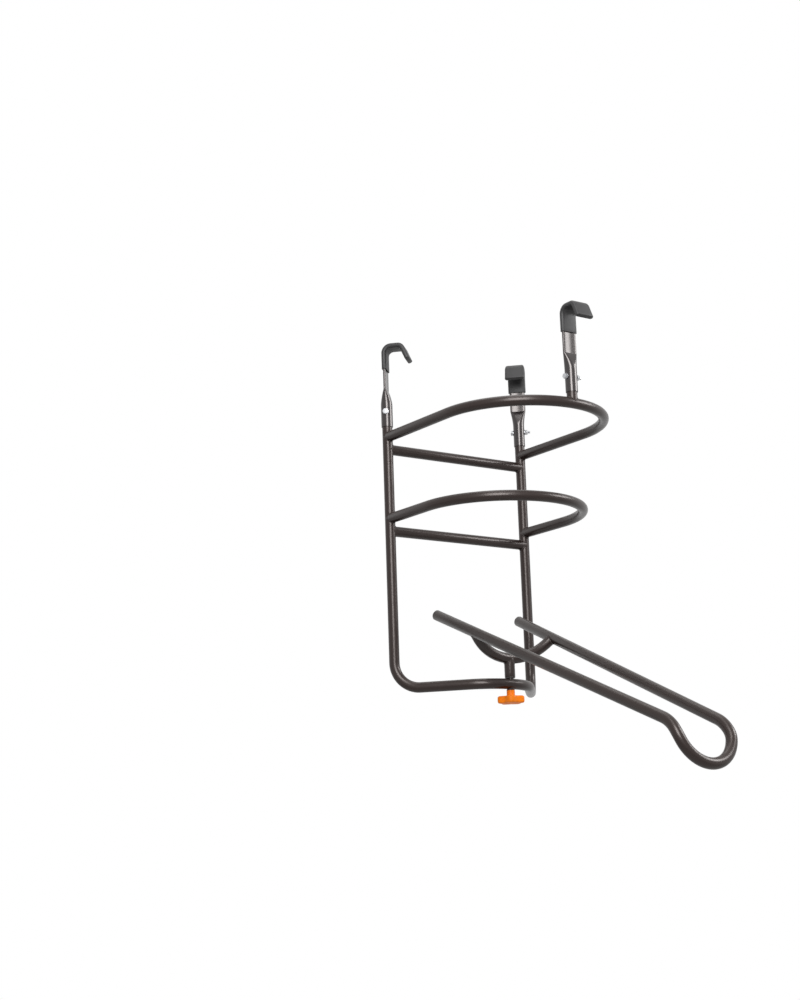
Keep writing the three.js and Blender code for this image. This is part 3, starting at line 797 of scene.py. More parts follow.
def arc_points(centre: tuple[float, float], radius: tuple[float, float], start: float, end: float,
               steps: int) -> Iterator[tuple[float, float]]:
    """Points of an elliptical arc in a profile.

    Args:
        centre: the arc's centre as radius and height.
        radius: its two half axes.
        start: the first angle in degrees, 0 pointing outwards and 90 up.
        end: the last angle in degrees.
        steps: how many steps to take.

    Yields:
        Each point as radius and height.
    """
    for i in range(steps + 1):
        angle = math.radians(start + (end - start) * i / steps)
        yield centre[0] + radius[0] * math.cos(angle), centre[1] + radius[1] * math.sin(angle)


@dataclass(frozen=True)
class WeldBead:
    """The fillet of weld where the end of one tube stands on another.

    Args:
        bead: radius of the bead.
        ripple: how much the bead swells at each ripple.
        ripples: ripples round the whole seam.
        sunk: how far the bead's centre lies inside the branch tube's skin.
        side_share: the bead's size at the tube's sides over that on its crown.
        seam_steps: facets along the seam.
        bead_steps: facets round the bead.
    """

    bead: float = 0.0021
    ripple: float = 0.09
    ripples: int = 34
    sunk: float = 0.0006
    side_share: float = 0.45
    seam_steps: int = 136
    bead_steps: int = 14

    def run(self, name: str, seat: Vector, host: Vector, branch: Vector) -> bpy.types.Object:
        """Lay the bead round a seam.

        Args:
            name: the bead's name.
            seat: where the two centrelines meet.
            host: the way the tube that is stood on runs.
            branch: the way the other tube leaves it.

        Returns:
            The bead.
        """
        let_go()
        branch = branch.normalized()
        host = host.normalized()
        turn = branch.to_track_quat("Z", "Y").to_euler()
        bpy.ops.mesh.primitive_torus_add(
            major_radius=STOCK.radius - self.sunk, minor_radius=self.bead, location=seat, rotation=turn,
            major_segments=self.seam_steps, minor_segments=self.bead_steps)
        piece = name_piece(bpy.context.object, name)
        settle(piece)
        branch_across = branch - branch.dot(host) * host
        for vert in piece.data.vertices:
            arm = vert.co - seat
            spoke = (arm - arm.dot(branch) * branch).normalized()
            middle = spoke * (STOCK.radius - self.sunk)
            across = middle - middle.dot(host) * host
            half_b = across.dot(branch_across)
            square = branch_across.length_squared
            root = half_b ** 2 - square * (across.length_squared - STOCK.radius ** 2)
            climb = (math.sqrt(max(0.0, root)) - half_b) / square
            aside = spoke.dot(branch.cross(host).normalized())
            turned = math.atan2(spoke.dot(host), aside)
            swell = 1.0 - (1.0 - self.side_share) * aside ** 2
            swell *= 1.0 + self.ripple * math.sin(self.ripples * turned)
            vert.co = seat + middle + branch * climb + (arm - middle) * swell
        smooth(piece)
        return piece


class SubAssembly:
    """A group of pieces that are built together and ride on the same bodies."""

    def __init__(self, paint: PaintShop) -> None:
        """Keep the shop that holds the finishes."""
        self.paint = paint

    def fit(self, piece: bpy.types.Object, body: Body, finish: Finish, *nodes: str) -> bpy.types.Object:
        """Dress a piece, set it on its body and let it stand for its nodes.

        Args:
            piece: the finished piece.
            body: the body that it rides on.
            finish: its finish.
            nodes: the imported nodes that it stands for.

        Returns:
            The piece.
        """
        self.paint.coat(piece, finish)
        let_go()
        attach(piece, body.value)
        if nodes:
            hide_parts(*nodes)
        LOG.info("%s on %s in %s, %d faces", piece.name, body.value, finish.title,
                 len(piece.data.polygons))
        return piece


@dataclass(frozen=True)
class CageSizes:
    """Driving sizes of the welded cage.

    Args:
        rim_radius: radius of the rim rod's centreline.
        leg_circle: radius of the circle that both back legs stand on.
        leg_angle: angle of each back leg from the backboard side.
        stub_inside_rim: how far inside the rim the front stub stands.
        leg_top: height of the tops of the legs and the stub.
        drilled_length: length of the drilled stretch at a leg's top.
        upper_hoop: height of the upper hoop.
        lower_hoop: height of the lower hoop.
        crossbar_below: how far each crossbar lies under its hoop.
        foot_bar: height of the foot bar.
        upper_reach: how far the upper hoop reaches to the court.
        lower_reach: how far the lower hoop reaches to the court.
        pivot_back: how far behind the rim's centre the chute's pivot stands.
        bow_radius: bend radius of the foot bar's bow.
        leg_bend: bend radius where a leg turns into the foot bar.
        bush_radius: outside radius of the bush through the foot bar.
        bush_stand_out: how far the bush stands out above and below the bar.
        stud_radius: radius of the clamp screw's stud.
        drilled_rings: rings along a leg's drilled stretch.
        stub_rings: rings along the front stub.
    """

    rim_radius: float = 0.2375
    leg_circle: float = 0.265
    leg_angle: float = math.radians(43.73)
    stub_inside_rim: float = 0.023
    leg_top: float = -0.118
    drilled_length: float = 0.024
    upper_hoop: float = -0.188
    lower_hoop: float = -0.369
    crossbar_below: float = 0.0275
    foot_bar: float = -0.736
    upper_reach: float = 0.2145
    lower_reach: float = 0.1315
    pivot_back: float = 0.0323
    bow_radius: float = 0.104
    leg_bend: float = 0.055
    bush_radius: float = 0.0076
    bush_stand_out: float = 0.0006
    stud_radius: float = 0.005
    drilled_rings: int = 4
    stub_rings: int = 8

    @property
    def leg_x(self) -> float:
        """Distance of each leg from the middle plane."""
        return self.leg_circle * math.sin(self.leg_angle)

    @property
    def leg_y(self) -> float:
        """How far behind the rim's centre the legs stand."""
        return self.leg_circle * math.cos(self.leg_angle)

    @property
    def stub_y(self) -> float:
        """Place of the front stub along Y."""
        return self.stub_inside_rim - self.rim_radius

    @property
    def bush_top(self) -> float:
        """Height of the bush's upper face."""
        return self.foot_bar + STOCK.radius + self.bush_stand_out

    @property
    def bush_bottom(self) -> float:
        """Height of the bush's lower face."""
        return self.foot_bar - STOCK.radius - self.bush_stand_out


@dataclass(frozen=True)
class BoltSizes:
    """Sizes of a hook's cross bolt, its nut and its washers.

    Args:
        height: height of the bolt's axis.
        radius: radius of its shank.
        head_radius: radius over the corners of its head and nut.
        head_height: height of the head.
        nut_height: height of the nut.
        end_length: length of thread past the nut.
        washer_radius: outside radius of a washer.
        washer_thickness: its thickness.
        bore_fit: clearance round the shank.
        pitch: pitch of the thread.
        chamfer: slope of the chamfer on the head's and the nut's corners.
        lathe_share: reach of the chamfer's cutter over the corners' radius.
        edge: width of the rounding on the head's and the nut's edges.
        edge_angle: the smallest angle between faces that is rounded there.
        washer_edge: width of the rounding on a washer's edges.
        shank_sides: facets round the shank.
        washer_sides: facets round a washer and a chamfer.
    """

    height: float = -0.1325
    radius: float = 0.003
    head_radius: float = 0.0058
    head_height: float = 0.004
    nut_height: float = 0.005
    end_length: float = 0.006
    washer_radius: float = 0.0062
    washer_thickness: float = 0.0012
    bore_fit: float = 0.0003
    pitch: float = 0.001
    chamfer: float = math.radians(30.0)
    lathe_share: float = 1.02
    edge: float = 0.00015
    edge_angle: float = math.radians(24.0)
    washer_edge: float = 0.0002
    shank_sides: int = 32
    washer_sides: int = 48


class Cage(SubAssembly):
    """The welded cage: legs and foot bar in one tube, two hoops, two crossbars and the front stub."""

    def __init__(self, paint: PaintShop, sizes: CageSizes, bolt: BoltSizes) -> None:
        """Keep the sizes.

        Args:
            paint: the shop that holds the finishes.
            sizes: the cage's sizes.
            bolt: the sizes of the cross bolts that pass through it.
        """
        super().__init__(paint)
        self.sizes = sizes
        self.bolt = bolt
        self.weld = WeldBead()

    def leg_place(self, side: Side, height: float) -> Vector:
        """A point on a leg's centreline."""
        return Vector((side.value * self.sizes.leg_x, self.sizes.leg_y, height))

    def frame_tube(self) -> bpy.types.Object:
        """Bend both legs and the bowed foot bar from one tube.

        Returns:
            The frame tube, drilled for the bolts and the bush.
        """
        s = self.sizes
        bow_y = s.pivot_back + s.bow_radius
        to_bow = math.hypot(s.leg_x, bow_y - s.leg_y)
        splay = math.atan2(s.leg_y - bow_y, s.leg_x) + math.asin(s.bow_radius / to_bow)
        tangent = math.sqrt(to_bow ** 2 - s.bow_radius ** 2) - s.leg_bend
        leg = s.leg_top - s.foot_bar - s.leg_bend
        inwards = Vector((math.cos(splay), -math.sin(splay), 0.0))
        outwards = Vector((math.cos(splay), math.sin(splay), 0.0))
        bender = TubeBender("frame_tube_bent", self.leg_place(Side.LEFT, s.leg_top), -Z)
        top = s.drilled_length
        bender.straight(top, s.drilled_rings).straight(leg - top)
        bender.bend(inwards, s.leg_bend).straight(tangent)
        bender.bend(outwards, s.bow_radius).straight(tangent).bend(Z, s.leg_bend)
        bender.straight(leg - top).straight(top, s.drilled_rings)
        tube = bender.done()
        reach = 2 * (STOCK.radius + CUT_OVERRUN)
        pivot = Vector((0.0, s.pivot_back, s.foot_bar))
        bore_out(tube, pivot, Z, s.bush_radius + SEAT_GAP, reach)
        for side in Side:
            across = Vector((s.leg_y, -side.value * s.leg_x, 0.0))
            bolt_place = self.leg_place(side, self.bolt.height)
            bore_out(tube, bolt_place, across, self.bolt.radius + self.bolt.bore_fit, reach)
        smooth(tube)
        return self.fit(tube, Body.FRAME, POWDER_COAT, "frame_tube")

    def hoop(self, node: str, height: float, reach: float) -> bpy.types.Object:
        """Bend a hoop: two arms from the legs and a half circle between them.

        Args:
            node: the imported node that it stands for.
            height: the hoop's height.
            reach: how far it reaches to the court.

        Returns:
            The hoop.
        """
        arm = self.sizes.leg_y + reach - self.sizes.leg_x
        bender = TubeBender(f"{node}_bent", self.leg_place(Side.LEFT, height), -Y)
        bender.straight(arm).bend(X, self.sizes.leg_x, BEND_STEP / 2)
        hoop = bender.bend(Y, self.sizes.leg_x, BEND_STEP / 2).straight(arm).done()
        for side in Side:
            seat = self.leg_place(side, height)
            cope(hoop, seat, Z)
            self.fit(self.weld.run(f"{node}_weld_{side.word}", seat, Z, -Y), Body.FRAME, WELD_COAT)
        return self.fit(hoop, Body.FRAME, POWDER_COAT, node)

    def crossbar(self, node: str, height: float) -> bpy.types.Object:
        """Cut a straight bar from leg to leg.

        Args:
            node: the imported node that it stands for.
            height: the bar's height.

        Returns:
            The crossbar.
        """
        bender = TubeBender(f"{node}_tube", self.leg_place(Side.LEFT, height), X)
        bar = bender.straight(2 * self.sizes.leg_x).done()
        for side in Side:
            seat = self.leg_place(side, height)
            cope(bar, seat, Z)
            bead = self.weld.run(f"{node}_weld_{side.word}", seat, Z, -side.value * X)
            self.fit(bead, Body.FRAME, WELD_COAT)
        return self.fit(bar, Body.FRAME, POWDER_COAT, node)

    def front_stub(self) -> bpy.types.Object:
        """Stand the short upright on the front of the upper hoop.

        Returns:
            The stub.
        """
        s = self.sizes
        foot = Vector((0.0, s.stub_y, s.upper_hoop))
        bender = TubeBender("front_stub_tube", foot, Z)
        stub = bender.straight(s.leg_top - s.upper_hoop, s.stub_rings).done()
        cope(stub, foot, X)
        bolt_place = Vector((0.0, s.stub_y, self.bolt.height))
        reach = 2 * (STOCK.radius + CUT_OVERRUN)
        bore_out(stub, bolt_place, X, self.bolt.radius + self.bolt.bore_fit, reach)
        smooth(stub)
        self.fit(self.weld.run("front_stub_weld", foot, X, Z), Body.FRAME, WELD_COAT)
        return self.fit(stub, Body.FRAME, POWDER_COAT, "front_stub")

    def pivot_bush(self) -> bpy.types.Object:
        """Turn the bush that the clamp screw passes through.

        Returns:
            The bush.
        """
        s = self.sizes
        bore = s.stud_radius + self.bolt.bore_fit
        profile = ring_profile(bore, s.bush_radius, s.bush_bottom, s.bush_top)
        bush = turn_profile("pivot_bush_turned", profile)
        ease_edges(bush)
        smooth(bush)
        place_piece(bush, Matrix.Translation((0.0, s.pivot_back, 0.0)))
        return self.fit(bush, Body.FRAME, POWDER_COAT, "pivot_bush")

    def build(self) -> None:
        """Build every tube of the cage and its welds."""
        s = self.sizes
        self.frame_tube()
        self.hoop("upper_hoop", s.upper_hoop, s.upper_reach)
        self.hoop("lower_hoop", s.lower_hoop, s.lower_reach)
        self.crossbar("upper_crossbar", s.upper_hoop - s.crossbar_below)
        self.crossbar("lower_crossbar", s.lower_hoop - s.crossbar_below)
        self.front_stub()
        self.pivot_bush()


@dataclass(frozen=True)
class HookSizes:
    """Driving sizes of a hook and its cap.

    Args:
        sleeve_wall: wall of the hook's tube.
        sleeve_fit: clearance between the sleeve and the leg inside it.
        sleeve_end: height of the sleeve's lower end.
        press_start: height where the sleeve begins to be pressed.
        press_end: height where it is flat.
        press_curve: power by which the press deepens on its way up.
        flat_width: width of the pressed strip.
        flat_thickness: its thickness.
        dish_depth: how far its faces are sunk along their middle.
        dish_run: how far below the flat the dish begins.
        tip_width: width of the strip at its tip.
        crown_bend: bend radius over the leg.
        seat_length: length of the level run over the rim.
        tip_bend: bend radius before the tip.
        tip_lean: how far the tip leans out from the vertical.
        tip_length: length of the straight tip.
        cap_wall: wall of the soft cap.
        cap_fit: clearance inside it.
        cap_end: height of its lower rim.
        cap_edge: width of the rounding on its lower rim.
        rod_radius: radius of the rim's rod.
        sleeve_rings: rings along the round sleeve.
        press_steps: rings along the pressed stretch.
        dish_cuts: bands that the flat is cut into for its dish.
        crown_steps: steps of the bend over the leg.
        tip_steps: steps of the bend before the tip.
        cap_rings: rings along each straight of the cap.
        cap_sides: facets round the cap.
        nose_steps: rings round the cap's nose.
        nose_turn: turn of the nose's rounding from ring to ring.
    """

    sleeve_wall: float = 0.0012
    sleeve_fit: float = 0.0004
    sleeve_end: float = -0.1655
    press_start: float = -0.117
    press_end: float = -0.082
    press_curve: float = 1.6
    flat_width: float = 0.035
    flat_thickness: float = 0.0055
    dish_depth: float = 0.0005
    dish_run: float = 0.004
    tip_width: float = 0.039
    crown_bend: float = 0.016
    seat_length: float = 0.015
    tip_bend: float = 0.012
    tip_lean: float = math.radians(23.0)
    tip_length: float = 0.025
    cap_wall: float = 0.0022
    cap_fit: float = 0.0003
    cap_end: float = -0.037
    cap_edge: float = 0.0005
    rod_radius: float = 0.009
    sleeve_rings: int = 8
    press_steps: int = 20
    dish_cuts: int = 10
    crown_steps: int = 12
    tip_steps: int = 9
    cap_rings: int = 3
    cap_sides: int = 48
    nose_steps: int = 5
    nose_turn: float = math.radians(15.0)

    @property
    def sleeve_radius(self) -> float:
        """Outside radius of the round sleeve."""
        return STOCK.radius + self.sleeve_fit + self.sleeve_wall

    @property
    def cap_half_thickness(self) -> float:
        """Half the thickness of the capped strip."""
        return self.flat_thickness / 2 + self.cap_fit + self.cap_wall

    @property
    def crown_height(self) -> float:
        """Height of the strip's centreline over the rim."""
        return self.rod_radius + SEAT_GAP + self.cap_half_thickness

    @property
    def tip_heading(self) -> Vector:
        """The way the tip points, in the hook's own frame."""
        return Vector((math.sin(self.tip_lean), 0.0, -math.cos(self.tip_lean)))


class HookSet(SubAssembly):
    """One hook with its soft cap, cross bolt, nut and washers. In its own frame it reaches along X."""

    def __init__(self, paint: PaintShop, word: str, foot: Vector, heading: float, sizes: HookSizes,
                 bolt: BoltSizes) -> None:
        """Keep the sizes and the place.

        Args:
            paint: the shop that holds the finishes.
            word: the hook's name: left, right or front.
            foot: the leg's axis at the height of the rim.
            heading: the angle about Z that the hook reaches along.
            sizes: the hook's sizes.
            bolt: the sizes of its fasteners.
        """
        super().__init__(paint)
        self.word = word
        self.sizes = sizes
        self.bolt = bolt
        self.place = Matrix.Translation(foot) @ Matrix.Rotation(heading, 4, "Z")

    def _over_the_rim(self, bender: TubeBender) -> None:
        """Bend the strip over the rim, spreading it to the tip's width on the way.

        Args:
            bender: the strip so far, heading up.
        """
        s = self.sizes
        bends = ((X, s.crown_bend, s.crown_steps), (s.tip_heading, s.tip_bend, s.tip_steps))
        share = (s.tip_width - s.flat_width) / 2 / (s.crown_steps + s.tip_steps)
        for (towards, radius, steps), run in zip(bends, (s.seat_length, 0.0)):
            angle = bender.heading.angle(towards)
            axis = bender.heading.cross(towards).normalized()
            for _ in range(steps):
                bender.spin(axis, angle / steps, radius)
                bender.press(bender.half_width + share, bender.half_thickness)
            if run:
                bender.straight(run)

    def hook(self) -> bpy.types.Object:
        """Press and bend the hook from one length of tube.

        Returns:
            The hook.
        """
        s = self.sizes
        start = Vector((0.0, 0.0, s.sleeve_end))
        bender = TubeBender(f"hook_{self.word}_pressed", start, Z, s.sleeve_radius)
        bender.straight(s.press_start - s.sleeve_end, s.sleeve_rings)
        for i in range(1, s.press_steps + 1):
            bender.straight((s.press_end - s.press_start) / s.press_steps)
            share = (i / s.press_steps) ** s.press_curve
            half_width = s.sleeve_radius + (s.flat_width / 2 - s.sleeve_radius) * share
            half_thickness = s.sleeve_radius + (s.flat_thickness / 2 - s.sleeve_radius) * share
            bender.press(half_width, half_thickness)
        bender.straight(s.crown_height - s.crown_bend - s.press_end)
        self._over_the_rim(bender)
        bender.straight(s.tip_length)
        half_span = s.flat_width / 2 - s.flat_thickness / 2
        bender.dish(s.dish_depth, half_span, s.press_end - s.dish_run, s.press_end, s.dish_cuts)
        hook = bender.done(s.sleeve_wall)
        bolt_place = Vector((0.0, 0.0, self.bolt.height))
        reach = 2 * (s.sleeve_radius + CUT_OVERRUN)
        bore_out(hook, bolt_place, Y, self.bolt.radius + self.bolt.bore_fit, reach)
        smooth(hook, CREASE_ANGLE)
        place_piece(hook, self.place)
        return self.fit(hook, Body.FRAME, HOOK_COAT, f"hook_{self.word}")

    def cap(self) -> bpy.types.Object:
        """Draw the soft cap over the hooked strip.

        Returns:
            The cap.
        """
        s = self.sizes
        outset = s.cap_fit + s.cap_wall
        start = Vector((0.0, 0.0, s.cap_end))
        bender = TubeBender(f"hook_cap_{self.word}_dipped", start, Z, s.cap_half_thickness, s.cap_sides)
        bender.press(s.flat_width / 2 + outset, s.cap_half_thickness)
        bender.straight(s.crown_height - s.crown_bend - s.cap_end, s.cap_rings)
        self._over_the_rim(bender)
        bender.straight(s.tip_length + s.cap_fit, s.cap_rings)
        full_width, full_thickness = bender.half_width, bender.half_thickness
        for i in range(1, s.nose_steps + 1):
            angle = i * s.nose_turn
            bender.straight(s.cap_wall * (math.sin(angle) - math.sin(angle - s.nose_turn)))
            inset = s.cap_wall * (1.0 - math.cos(angle))
            bender.press(full_width - inset, full_thickness - inset)
        bender.close_end()
        cap = bender.done(s.cap_wall, s.cap_edge)
        place_piece(cap, self.place)
        return self.fit(cap, Body.FRAME, DIPPED_VINYL, f"hook_cap_{self.word}")

    @property
    def washer_face(self) -> float:
        """Where a washer's inner face lies along the bolt, from the leg's axis."""
        return self.sizes.sleeve_radius + SEAT_GAP

    @property
    def fastener_face(self) -> float:
        """Where the head and the nut bear on their washers."""
        return self.washer_face + self.bolt.washer_thickness + SEAT_GAP

    def _across(self) -> Matrix:
        """Turns a piece made about Z to lie along the bolt, with +Z on the nut's side."""
        lay_down = Matrix.Rotation(-math.pi / 2, 4, "X")
        return self.place @ Matrix.Translation((0.0, 0.0, self.bolt.height)) @ lay_down

    def hexagon(self, name: str, bottom: float, height: float, chamfer_top: bool) -> bpy.types.Object:
        """Cut a hexagon from bar, with its lower corners turned back.

        Args:
            name: the piece's name.
            bottom: where it starts along Z.
            height: its height.
            chamfer_top: whether the upper corners are turned back too.

        Returns:
            The hexagon, about Z.
        """
        b = self.bolt
        let_go()
        half_facet = math.pi / 6
        bpy.ops.mesh.primitive_cylinder_add(
            vertices=6, radius=b.head_radius, depth=height, location=(0, 0, bottom + height / 2),
            rotation=(0, 0, half_facet))
        piece = name_piece(bpy.context.object, name)
        settle(piece)
        flat = b.head_radius * math.cos(half_facet)
        corner = b.head_radius * b.lathe_share
        lift = (b.head_radius - flat) * math.tan(b.chamfer)
        top = bottom + height
        profile = [(0.0, bottom), (flat, bottom), (corner, bottom + lift)]
        profile += [(corner, top - lift), (flat, top)] if chamfer_top else [(corner, top)]
        turned = turn_profile(f"{name}_lathe", [*profile, (0.0, top)], b.washer_sides)
        finish_with(piece, "BOOLEAN", {"object": turned, "operation": "INTERSECT", "solver": "EXACT"})
        bpy.data.objects.remove(turned, do_unlink=True)
        return piece

    def bolt_piece(self) -> bpy.types.Object:
        """Make the cross bolt, its head on the -Y side.

        Returns:
            The bolt.
        """
        b = self.bolt
        head_bottom = -self.fastener_face - b.head_height
        head = self.hexagon(f"hook_bolt_{self.word}_zinc", head_bottom, b.head_height, False)
        end = self.fastener_face + b.nut_height + b.end_length
        inside = -self.fastener_face - b.head_height / 2
        profile = rod_profile(b.radius, inside, self.fastener_face, end, b.pitch)
        shank = turn_profile("shank", profile, b.shank_sides)
        cut_thread(shank, b.pitch, self.fastener_face, end)
        finish_with(head, "BOOLEAN", {"object": shank, "operation": "UNION", "solver": "EXACT"})
        bpy.data.objects.remove(shank, do_unlink=True)
        ease_edges(head, b.edge, b.edge_angle)
        smooth(head)
        place_piece(head, self._across())
        return self.fit(head, Body.FRAME, ZINC_PLATE, f"hook_bolt_{self.word}")

    def nut_piece(self) -> bpy.types.Object:
        """Make the nut, on the +Y side.

        Returns:
            The nut.
        """
        b = self.bolt
        nut = self.hexagon(f"hook_nut_{self.word}_zinc", self.fastener_face, b.nut_height, True)
        start = Vector((0.0, 0.0, self.fastener_face))
        bore_out(nut, start, Z, b.radius + b.bore_fit / 2, 4 * b.nut_height)
        ease_edges(nut, b.edge, b.edge_angle)
        smooth(nut)
        place_piece(nut, self._across())
        return self.fit(nut, Body.FRAME, ZINC_PLATE, f"hook_nut_{self.word}")

    def washer_piece(self, kind: str, bottom: float) -> bpy.types.Object:
        """Stamp a washer.

        Args:
            kind: head or nut, after what bears on it.
            bottom: where it starts along the bolt.

        Returns:
            The washer.
        """
        b = self.bolt
        profile = ring_profile(b.radius + b.bore_fit, b.washer_radius, bottom, bottom + b.washer_thickness)
        washer = turn_profile(f"{kind}_washer_{self.word}_zinc", profile, b.washer_sides)
        ease_edges(washer, b.washer_edge)
        smooth(washer)
        place_piece(washer, self._across())
        return self.fit(washer, Body.FRAME, ZINC_PLATE, f"{kind}_washer_{self.word}")

    def build(self) -> None:
        """Build the hook and everything on it."""
        self.hook()
        self.cap()
        self.bolt_piece()
        self.nut_piece()
        self.washer_piece("head", -self.washer_face - self.bolt.washer_thickness)
        self.washer_piece("nut", self.washer_face)


@dataclass(frozen=True)
class ChuteSizes:
    """Driving sizes of the chute.

    Args:
        pitch: how steeply the rails fall towards the court.
        rail_above_bar: height of the rails over the foot bar, at the pivot.
        half_spacing: half the distance between the rails at the pivot.
        taper: how far each rail draws in towards the outlet.
        behind: how far the rails reach behind the pivot.
        ahead: how far they reach ahead of it before the roll.
        ease_length: length over which the taper runs out before the loop.
        roll_radius: radius that the outlet is rolled down over.
        roll_angle: how far it is rolled.
        cradle_depth: how deep the cradle hangs under the rails.
        plug_shank: length of a plug's shank.
        plug_dome: height of its dome.
        plug_lip: width of the chamfer on its edges.
        bore_fit: clearance between a plug's shank and the rail.
        post_wall: wall of the swivel post.
        ease_steps: steps over which the taper runs out.
        dome_steps: steps of a plug's dome.
        post_rings: rings along the post.
    """

    pitch: float = math.radians(23.6)
    rail_above_bar: float = 0.1088
    half_spacing: float = 0.1035
    taper: float = math.radians(3.5)
    behind: float = 0.109
    ahead: float = 0.575
    ease_length: float = 0.0367
    roll_radius: float = 0.0667
    roll_angle: float = math.radians(51.0)
    cradle_depth: float = 0.0505
    plug_shank: float = 0.012
    plug_dome: float = 0.0055
    plug_lip: float = 0.0006
    bore_fit: float = 0.0003
    post_wall: float = 0.002
    ease_steps: int = 10
    dome_steps: int = 14
    post_rings: int = 4

    def half_spacing_at(self, ahead: float) -> float:
        """Half the distance between the rails, this far ahead of the pivot."""
        return self.half_spacing - math.tan(self.taper) * ahead

    @property
    def loop_radius(self) -> float:
        """Radius of the closed loop at the outlet."""
        return self.half_spacing_at(self.ahead) - math.tan(self.taper) * self.ease_length / 2

    @property
    def cradle_ahead(self) -> float:
        """How far ahead of the pivot the cradle's plane meets the rails."""
        return self.cradle_depth * math.tan(self.pitch)


class Chute(SubAssembly):
    """The swivelling chute: rails with a rolled outlet, cradle, plugs and post."""

    def __init__(self, paint: PaintShop, sizes: ChuteSizes, cage: CageSizes) -> None:
        """Keep the sizes and work out where the chute's own frame lies.

        Args:
            paint: the shop that holds the finishes.
            sizes: the chute's sizes.
            cage: the cage that carries it.
        """
        super().__init__(paint)
        self.sizes = sizes
        self.cage = cage
        self.weld = WeldBead()
        pivot = Vector((0.0, cage.pivot_back, cage.foot_bar + sizes.rail_above_bar))
        self.place = Matrix.Translation(pivot) @ Matrix.Rotation(sizes.pitch, 4, "X")

    def rail_heading(self, side: Side) -> Vector:
        """The way a rail runs towards the outlet, in the chute's frame."""
        return Vector((-side.value * math.sin(self.sizes.taper), -math.cos(self.sizes.taper), 0.0))

    def rail_place(self, side: Side, ahead: float) -> Vector:
        """A point on a rail's centreline, in the chute's frame."""
        return Vector((side.value * self.sizes.half_spacing_at(ahead), -ahead, 0.0))

    def _roll_down(self, rails: bpy.types.Object) -> None:
        """Roll the outlet down over its former, ring by ring, so that the tube stays round.

        Args:
            rails: the flat hairpin, its vertices still in the order that its rings were laid.
        """
        s = self.sizes
        vertices = rails.data.vertices
        for first in range(0, len(vertices), STOCK.sides):
            ring = [vertices[first + k] for k in range(STOCK.sides)]
            centre = sum((vert.co for vert in ring), Vector()) / STOCK.sides
            past = max(0.0, -centre.y - s.ahead)
            turn = min(past / s.roll_radius, s.roll_angle)
            beyond = past - turn * s.roll_radius
            forward = s.roll_radius * math.sin(turn) + beyond * math.cos(turn)
            fall = s.roll_radius * (1.0 - math.cos(turn)) + beyond * math.sin(turn)
            rolled = Vector((centre.x, centre.y + past - forward, centre.z - fall))
            tilt = Matrix.Rotation(turn, 3, "X")
            for vert in ring:
                vert.co = rolled + tilt @ (vert.co - centre)

    def rails(self) -> bpy.types.Object:
        """Bend both rails and the outlet from one tube.

        Returns:
            The rails.
        """
        s = self.sizes
        ease_radius = s.ease_length / math.sin(s.taper)
        ease_step = s.taper / s.ease_steps
        run = (s.behind + s.ahead) / math.cos(s.taper)
        start = self.rail_place(Side.LEFT, -s.behind)
        bender = TubeBender("chute_rails_bent", start, self.rail_heading(Side.LEFT))
        bender.straight(run).bend(-Y, ease_radius, ease_step)
        bender.bend(X, s.loop_radius, BEND_STEP).bend(Y, s.loop_radius, BEND_STEP)
        bender.bend(-self.rail_heading(Side.RIGHT), ease_radius, ease_step).straight(run)
        let_go()
        self._roll_down(bender.piece)
        take(bender.piece)
        bpy.ops.object.mode_set(mode="EDIT")
        rails = place_piece(bender.done(), self.place)
        return self.fit(rails, Body.CHUTE, POWDER_COAT, "chute_rails")

    @property
    def _cradle_arc(self) -> tuple[float, float]:
        """The cradle's arc.

        Returns:
            Its bend radius, and its slope where it leaves a rail.
        """
        half_chord = self.sizes.half_spacing_at(self.sizes.cradle_ahead)
        depth = self.sizes.cradle_depth
        radius = (half_chord ** 2 + depth ** 2) / (2 * depth)
        return radius, math.asin(half_chord / radius)

    def cradle(self) -> bpy.types.Object:
        """Bend the cradle from rail to rail and weld it in.

        Returns:
            The cradle.
        """
        radius, slope = self._cradle_arc
        start = self.rail_place(Side.LEFT, self.sizes.cradle_ahead)
        leaving = Vector((math.cos(slope), 0.0, -math.sin(slope)))
        arriving = Vector((math.cos(slope), 0.0, math.sin(slope)))
        cradle = TubeBender("chute_cradle_bent", start, leaving).bend(arriving, radius).done()
        for side in Side:
            seat = self.rail_place(side, self.sizes.cradle_ahead)
            cope(cradle, seat, self.rail_heading(side))
            branch = Vector((-side.value * math.cos(slope), 0.0, -math.sin(slope)))
            bead = self.weld.run(f"chute_cradle_weld_{side.word}", seat, self.rail_heading(side), branch)
            self.fit(place_piece(bead, self.place), Body.CHUTE, WELD_COAT)
        return self.fit(place_piece(cradle, self.place), Body.CHUTE, POWDER_COAT, "chute_cradle")

    def plug(self, side: Side) -> bpy.types.Object:
        """Turn a rail's domed plug and push it in.

        Args:
            side: which rail it closes.

        Returns:
            The plug.
        """
        s = self.sizes
        shank = STOCK.radius - STOCK.wall - s.bore_fit
        lip = s.plug_lip
        profile = [(0.0, -s.plug_shank), (shank - lip, -s.plug_shank), (shank, -s.plug_shank + lip),
                   (shank, SEAT_GAP), (STOCK.radius - lip / 2, SEAT_GAP),
                   (STOCK.radius, SEAT_GAP + lip / 2)]
        dome_axes = (STOCK.radius, s.plug_dome - lip)
        profile += arc_points((0.0, SEAT_GAP + lip), dome_axes, 0.0, 90.0, s.dome_steps)
        profile[-1] = (0.0, SEAT_GAP + s.plug_dome)
        plug = turn_profile(f"rail_plug_{side.word}_moulded", profile)
        smooth(plug)
        end = self.rail_place(side, -s.behind)
        outwards = (-self.rail_heading(side)).to_track_quat("Z", "Y").to_matrix().to_4x4()
        place_piece(plug, self.place @ Matrix.Translation(end) @ outwards)
        return self.fit(plug, Body.CHUTE, BLACK_PLASTIC, f"rail_plug_{side.word}")

